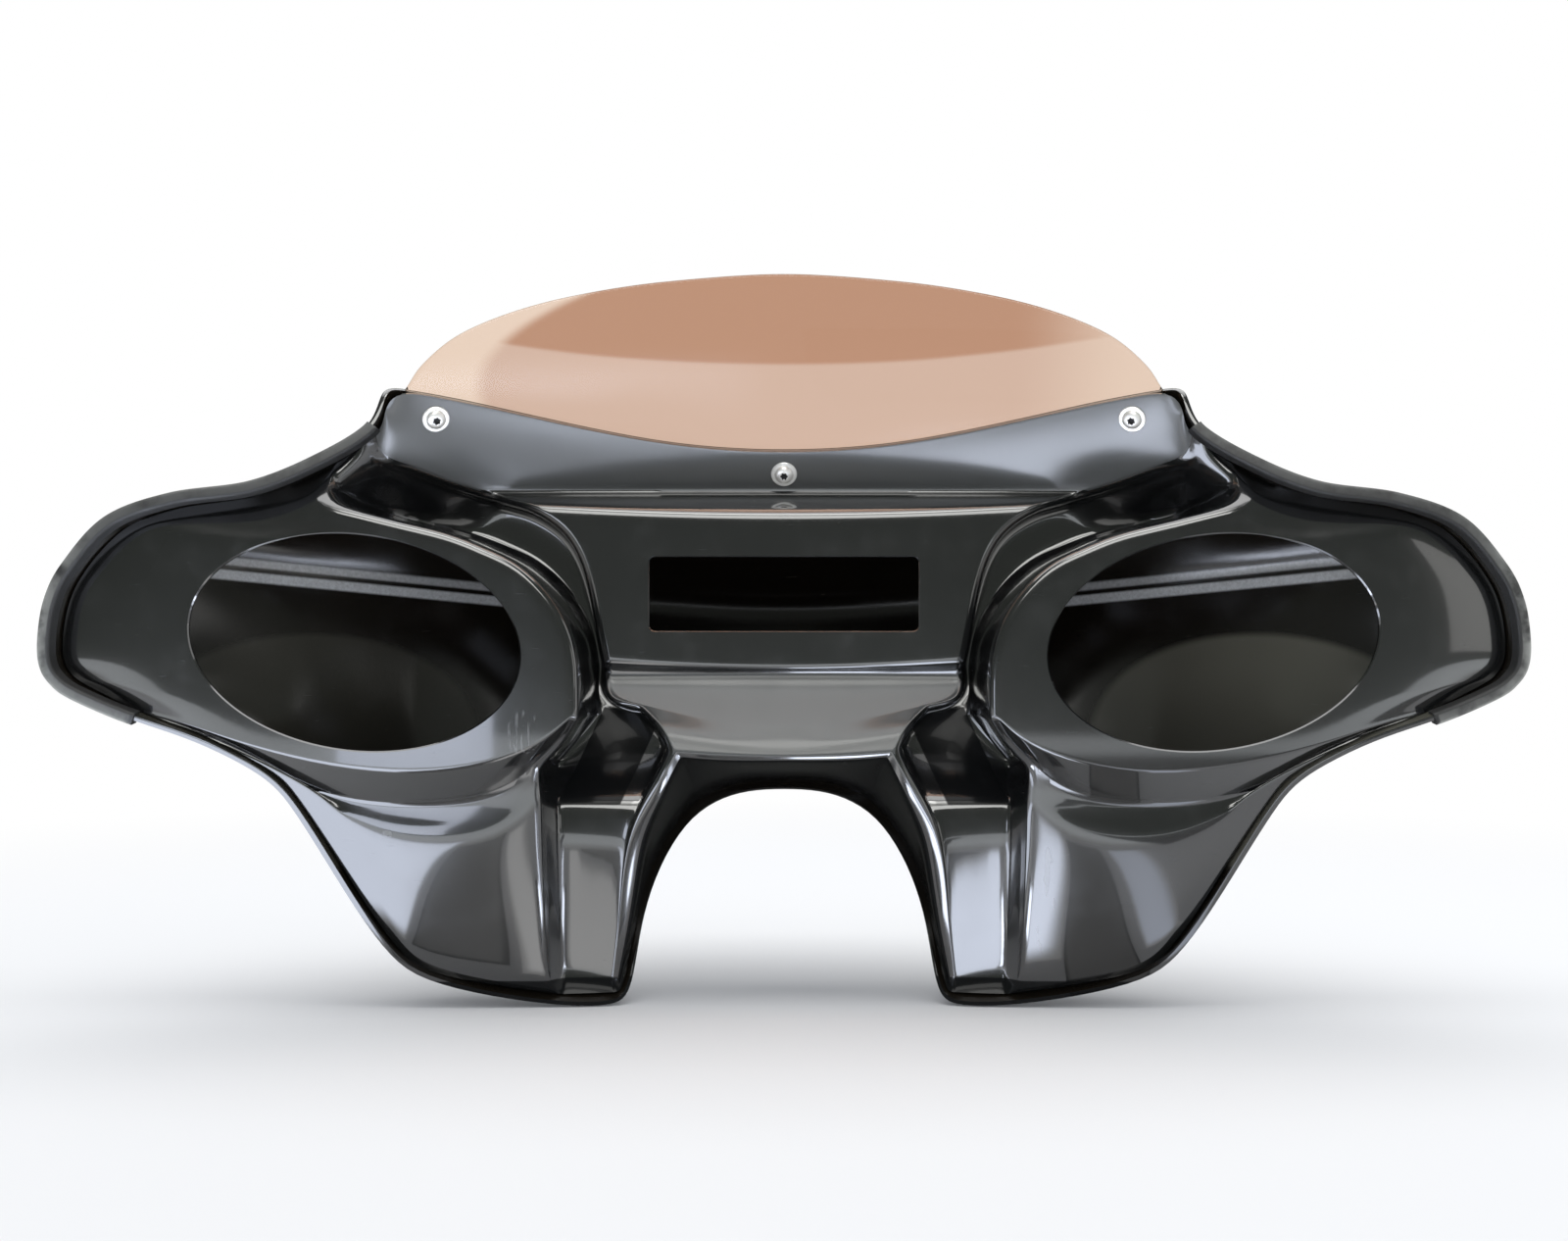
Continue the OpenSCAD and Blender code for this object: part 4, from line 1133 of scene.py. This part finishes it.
for node, shape in (
    ("windshield_screws", screw_shape), ("windshield_washers", washer_shape),
    ("windshield_nuts", nut_shape),
):
    piece = make_object(f"{node}_steel", [centre for centre, _ in screw_axes], [])
    arrows = piece.data.attributes.new("axis", "FLOAT_VECTOR", "POINT")
    arrows.data.foreach_set("vector", np.array([n for _, n in screw_axes]).ravel())
    repeat = piece.modifiers.new("repeat", "NODES")
    repeat.node_group = stack
    repeat[inputs["Shape"]], repeat[inputs["Finish"]] = shape, steel.material
    finished(piece)
    dress(piece, steel.material, node)
discard([screw_shape, washer_shape, nut_shape])

# Edge trim: a black rubber channel pushed over the shell's raw edge, one length on each
# wing, from beside the windshield round the tip to the lower edge.
trim_t, trim_depth, trim_gap = 2.2, 8.0, 0.25
trim_start, trim_end, trim_steps = 5.9, 17.1, 150
half_wide = shell_t / 2 + trim_gap + trim_t
half_slot = shell_t / 2 + trim_gap
back = -trim_gap - trim_t
section = [(trim_depth - 0.6, half_wide), (2.0, half_wide)]
for t in range(0, 91, 15):
    c, s = math.cos(math.radians(t)), math.sin(math.radians(t))
    section.append((back + 2.4 * (1 - s), half_wide - 2.4 * (1 - c)))
section += [(u, -w) for u, w in reversed(section)]
section += [(trim_depth, -half_wide + 0.6), (trim_depth, -half_slot), (-trim_gap, -half_slot),
            (-trim_gap, half_slot), (trim_depth, half_slot), (trim_depth, half_wide - 0.6)]
rubber = Paint("black_rubber")
grain = rubber.noise(1400.0, 2.0)
mottle = rubber.noise(45.0, 4.0, 0.6)
# Painted highlight: the outer side is painted pale in mottled patches, less of it higher up; the lip beside
# the panel stays black
outer = rubber.mark("outer_side").over(-0.3, 0.4)
height = rubber.axes()[2]
wear_and_painted_highlight = outer * mottle.over(0.3, 0.6) * (1 - height.over(0.01, 0.1) * 0.75)
rubber.set(
    Base_Color=rubber.blend(wear_and_painted_highlight, (0.016, 0.016, 0.016, 1), (0.36, 0.37, 0.35, 1)),
    Roughness=0.5 + mottle.over(0.3, 0.8) * 0.2,
    Normal=rubber.bump(grain, 0.00006),
)
for side, name in ((1, "right"), (-1, "left")):
    rings = []
    for i in range(trim_steps + 1):
        s = trim_start + (trim_end - trim_start) * i / trim_steps
        n = shell_normal(s, 0.5)
        middle_of_wall = rim(s) - n * shell_t / 2
        points = [middle_of_wall + lead(s) * u + n * w for u, w in section]
        rings.append(points if side > 0 else [flipped(p) for p in points])
    trim = loft(f"edge_trim_{name}_rubber", rings)
    outer_side = trim.data.attributes.new("outer_side", "FLOAT", "POINT")
    outer_side.data.foreach_set("value", [
        v.normal.dot(Vector((v.co.x, 0, 3 * v.co.z)).normalized()) for v in trim.data.vertices
    ])
    dress(trim, rubber.material, f"edge_trim_{name}")

# Studio: a flat pale floor that fades into a white background, and soft light from above
# and from the right. Dark cloth and the cards round the set show in reflections only.
def quad(name, corners):
    return make_object(name, [np.array(corner) * 1000 for corner in corners], [[0, 1, 2, 3]])


floor_z = float(cad_box[0][2]) - 0.0005
floor = quad("studio_floor", [(x, y, floor_z) for x, y in ((-6, -6), (6, -6), (6, 6), (-6, 6))])
floor_paint = Paint("studio_white")
floor_paint.set(Base_Color=(0.84, 0.84, 0.84, 1), Roughness=0.9, Specular_IOR_Level=0.0)
spot = floor_paint.node("ShaderNodeVectorMath", {"operation": "LENGTH"}, {0: floor_paint.place()}, 1)
floor_paint.lay(spot.over(0.55, 1.5), "ShaderNodeEmission", Color=(1, 1, 1, 1), Strength=1.0)
floor.data.materials.append(floor_paint.material)

air = Paint("studio", bpy.data.worlds)
bpy.context.scene.world = air.material
air.set(air.tree.nodes["Background"], Color=(0.80, 0.83, 0.88, 1), Strength=0.7)
rays = air.node("ShaderNodeLightPath").socket.node.outputs
seen, through, glossy = (Sock(air, rays[f"Is {kind} Ray"]) for kind in ("Camera", "Transmission", "Glossy"))
white = air.node("ShaderNodeMath", {"operation": "MAXIMUM"}, {0: seen, 1: through})
white = white.sum("MAXIMUM", white, glossy)
air.lay(white, "ShaderNodeBackground", Color=(1, 1, 1, 1), Strength=1.0)

for name, place, aim, size, level in (
    ("overhead", (0, 0.2, 2.3), (0, 0.2, 0), (3.2, 2.4), 2.2),
    ("right", (2.2, -0.7, 0.5), (0, 0, 0), (1.2, 1.6), 1.2),
):
    data = bpy.data.lights.new(name, "AREA")
    data.shape = "RECTANGLE"
    data.size, data.size_y = size
    data.energy = level * math.pi * size[0] * size[1]
    light = bpy.data.objects.new(name, data)
    bpy.context.scene.collection.objects.link(light)
    light.location = place
    light.rotation_euler = (Vector(aim) - Vector(place)).to_track_quat("-Z", "Y").to_euler()


def only_reflected(piece, paint, glow, level=1.0):
    paint.set(Base_Color=(0, 0, 0, 1), Emission_Color=glow, Emission_Strength=level)
    piece.data.materials.append(paint.material)
    piece.visible_camera = piece.visible_diffuse = False
    piece.visible_transmission = piece.visible_shadow = False


# The dark cloth hangs in a circle round the set and keeps the flat faces dark
cloth_n, cloth_r, cloth_top = 24, 3000.0, 3900.0
cloth_points = []
for i in range(cloth_n + 1):
    t = 2 * math.pi * i / cloth_n
    x, y = cloth_r * math.sin(t), -cloth_r * math.cos(t)
    cloth_points += [(x, y, floor_z * 1000), (x, y, cloth_top)]
cloth_faces = [[2 * i, 2 * i + 2, 2 * i + 3, 2 * i + 1] for i in range(cloth_n)]
cloth_paint = Paint("dark_cloth")
cloth_paint.set(Roughness=1.0)
only_reflected(make_object("dark_cloth", cloth_points, cloth_faces), cloth_paint, (0.145, 0.16, 0.14, 1))

# Cards on the floor show in the lower panels, the flange, the shelf and the right cheek,
# white ones and black ones that part them; two more hang overhead. Their edges fade over
# the widths in the fourth bracket: bright floor cards into the pale floor, others to black
card_lift = 0.002
cool, neutral = (0.86, 0.93, 1.09), (1, 1, 1)
for name, (x0, x1), (y0, y1), z, level, (soft_x0, soft_x1, soft_y0, soft_y1), colour in (
    ("floor", (-1.8, 1.8), (-2.95, -0.8), -0.001, 1.9, (0.3, 0.3, 0.05, 0.3), (0.95, 1, 1.03)),
    ("left", (-0.72, -0.285), (-1.1, -0.08), 0, 5.6, (0.02, 0.006, 0.3, 0.05), cool),
    ("left_dark", (-0.275, -0.185), (-0.78, -0.08), 0, 0.35, (0.004, 0.01, 0.02, 0.01), neutral),
    ("left_mid", (-0.175, -0.1), (-0.75, -0.06), 0, 2.1, (0.01, 0.03, 0.05, 0.02), neutral),
    ("flange", (0.0, 0.1), (-0.38, -0.15), 0.001, 13.0, (0.012, 0.03, 0.06, 0.03), cool),
    ("flange_dark", (-0.07, -0.003), (-0.4, -0.15), 0, 0.45, (0.02, 0.003, 0.05, 0.03), neutral),
    ("right", (0.08, 0.188), (-0.85, -0.10), 0, 6.6, (0.03, 0.025, 0.3, 0.06), cool),
    ("right_dark", (0.19, 0.25), (-0.7, -0.03), 0, 0.25, (0.004, 0.004, 0.02, 0.01), neutral),
    ("far_right", (0.262, 0.32), (-0.7, -0.08), 0, 2.4, (0.006, 0.02, 0.05, 0.02), cool),
    ("far_right_dark", (0.36, 0.9), (-2.3, -0.72), 0, 0.25, (0.15, 0.15, 0.3, 0.1), neutral),
    ("behind_dark", (-0.42, 0.42), (0.03, 1.3), 0, 0.02, (0.004, 0.004, 0.004, 0.1), neutral),
    ("above", (-0.9, 0.9), (-2.7, -2.12), 2.62, 2.6, (0.5, 0.5, 0.15, 0.01), (1, 1, 0.96)),
    ("above_bright", (-0.75, 0.75), (-2.1, -1.25), 2.62, 8.5, (0.5, 0.5, 0.15, 0.06), (1, 1, 0.97)),
):
    z += floor_z + card_lift
    card = quad(f"card_{name}", [(x0, y0, z), (x1, y0, z), (x1, y1, z), (x0, y1, z)])
    paint = Paint(f"card_{name}")
    x, y, _ = paint.axes()
    fade = x.over(x0, x0 + soft_x0) * (1 - x.over(x1 - soft_x1, x1))
    fade = fade * y.over(y0, y0 + soft_y0) * (1 - y.over(y1 - soft_y1, y1))
    around = (1, 1, 1, 1) if z < 1 and level > 1 else (0, 0, 0, 1)
    only_reflected(card, paint, paint.blend(fade, around, (*(level * c for c in colour), 1)))

# Upright cards on the rider's side light the brow, the right wing tip and the left panel
for name, (x0, y0), (x1, y1), (z0, z1), level, colour in (
    ("brow", (-0.95, -2.7), (0.95, -2.7), (1.15, 2.3), 5.0, (1, 1, 0.97)),
    ("panel", (-0.47, -0.8), (-0.306, -0.8), (-0.14, -0.025), 4.6, cool),
    ("wing", (1.53, -2.4), (2.2, -1.9), (-0.1, 0.5), 1.3, (1, 1, 0.97)),
):
    card = quad(f"card_{name}", [(x0, y0, z0), (x1, y1, z0), (x1, y1, z1), (x0, y0, z1)])
    only_reflected(card, Paint(f"card_{name}"), (*colour, 1), level)
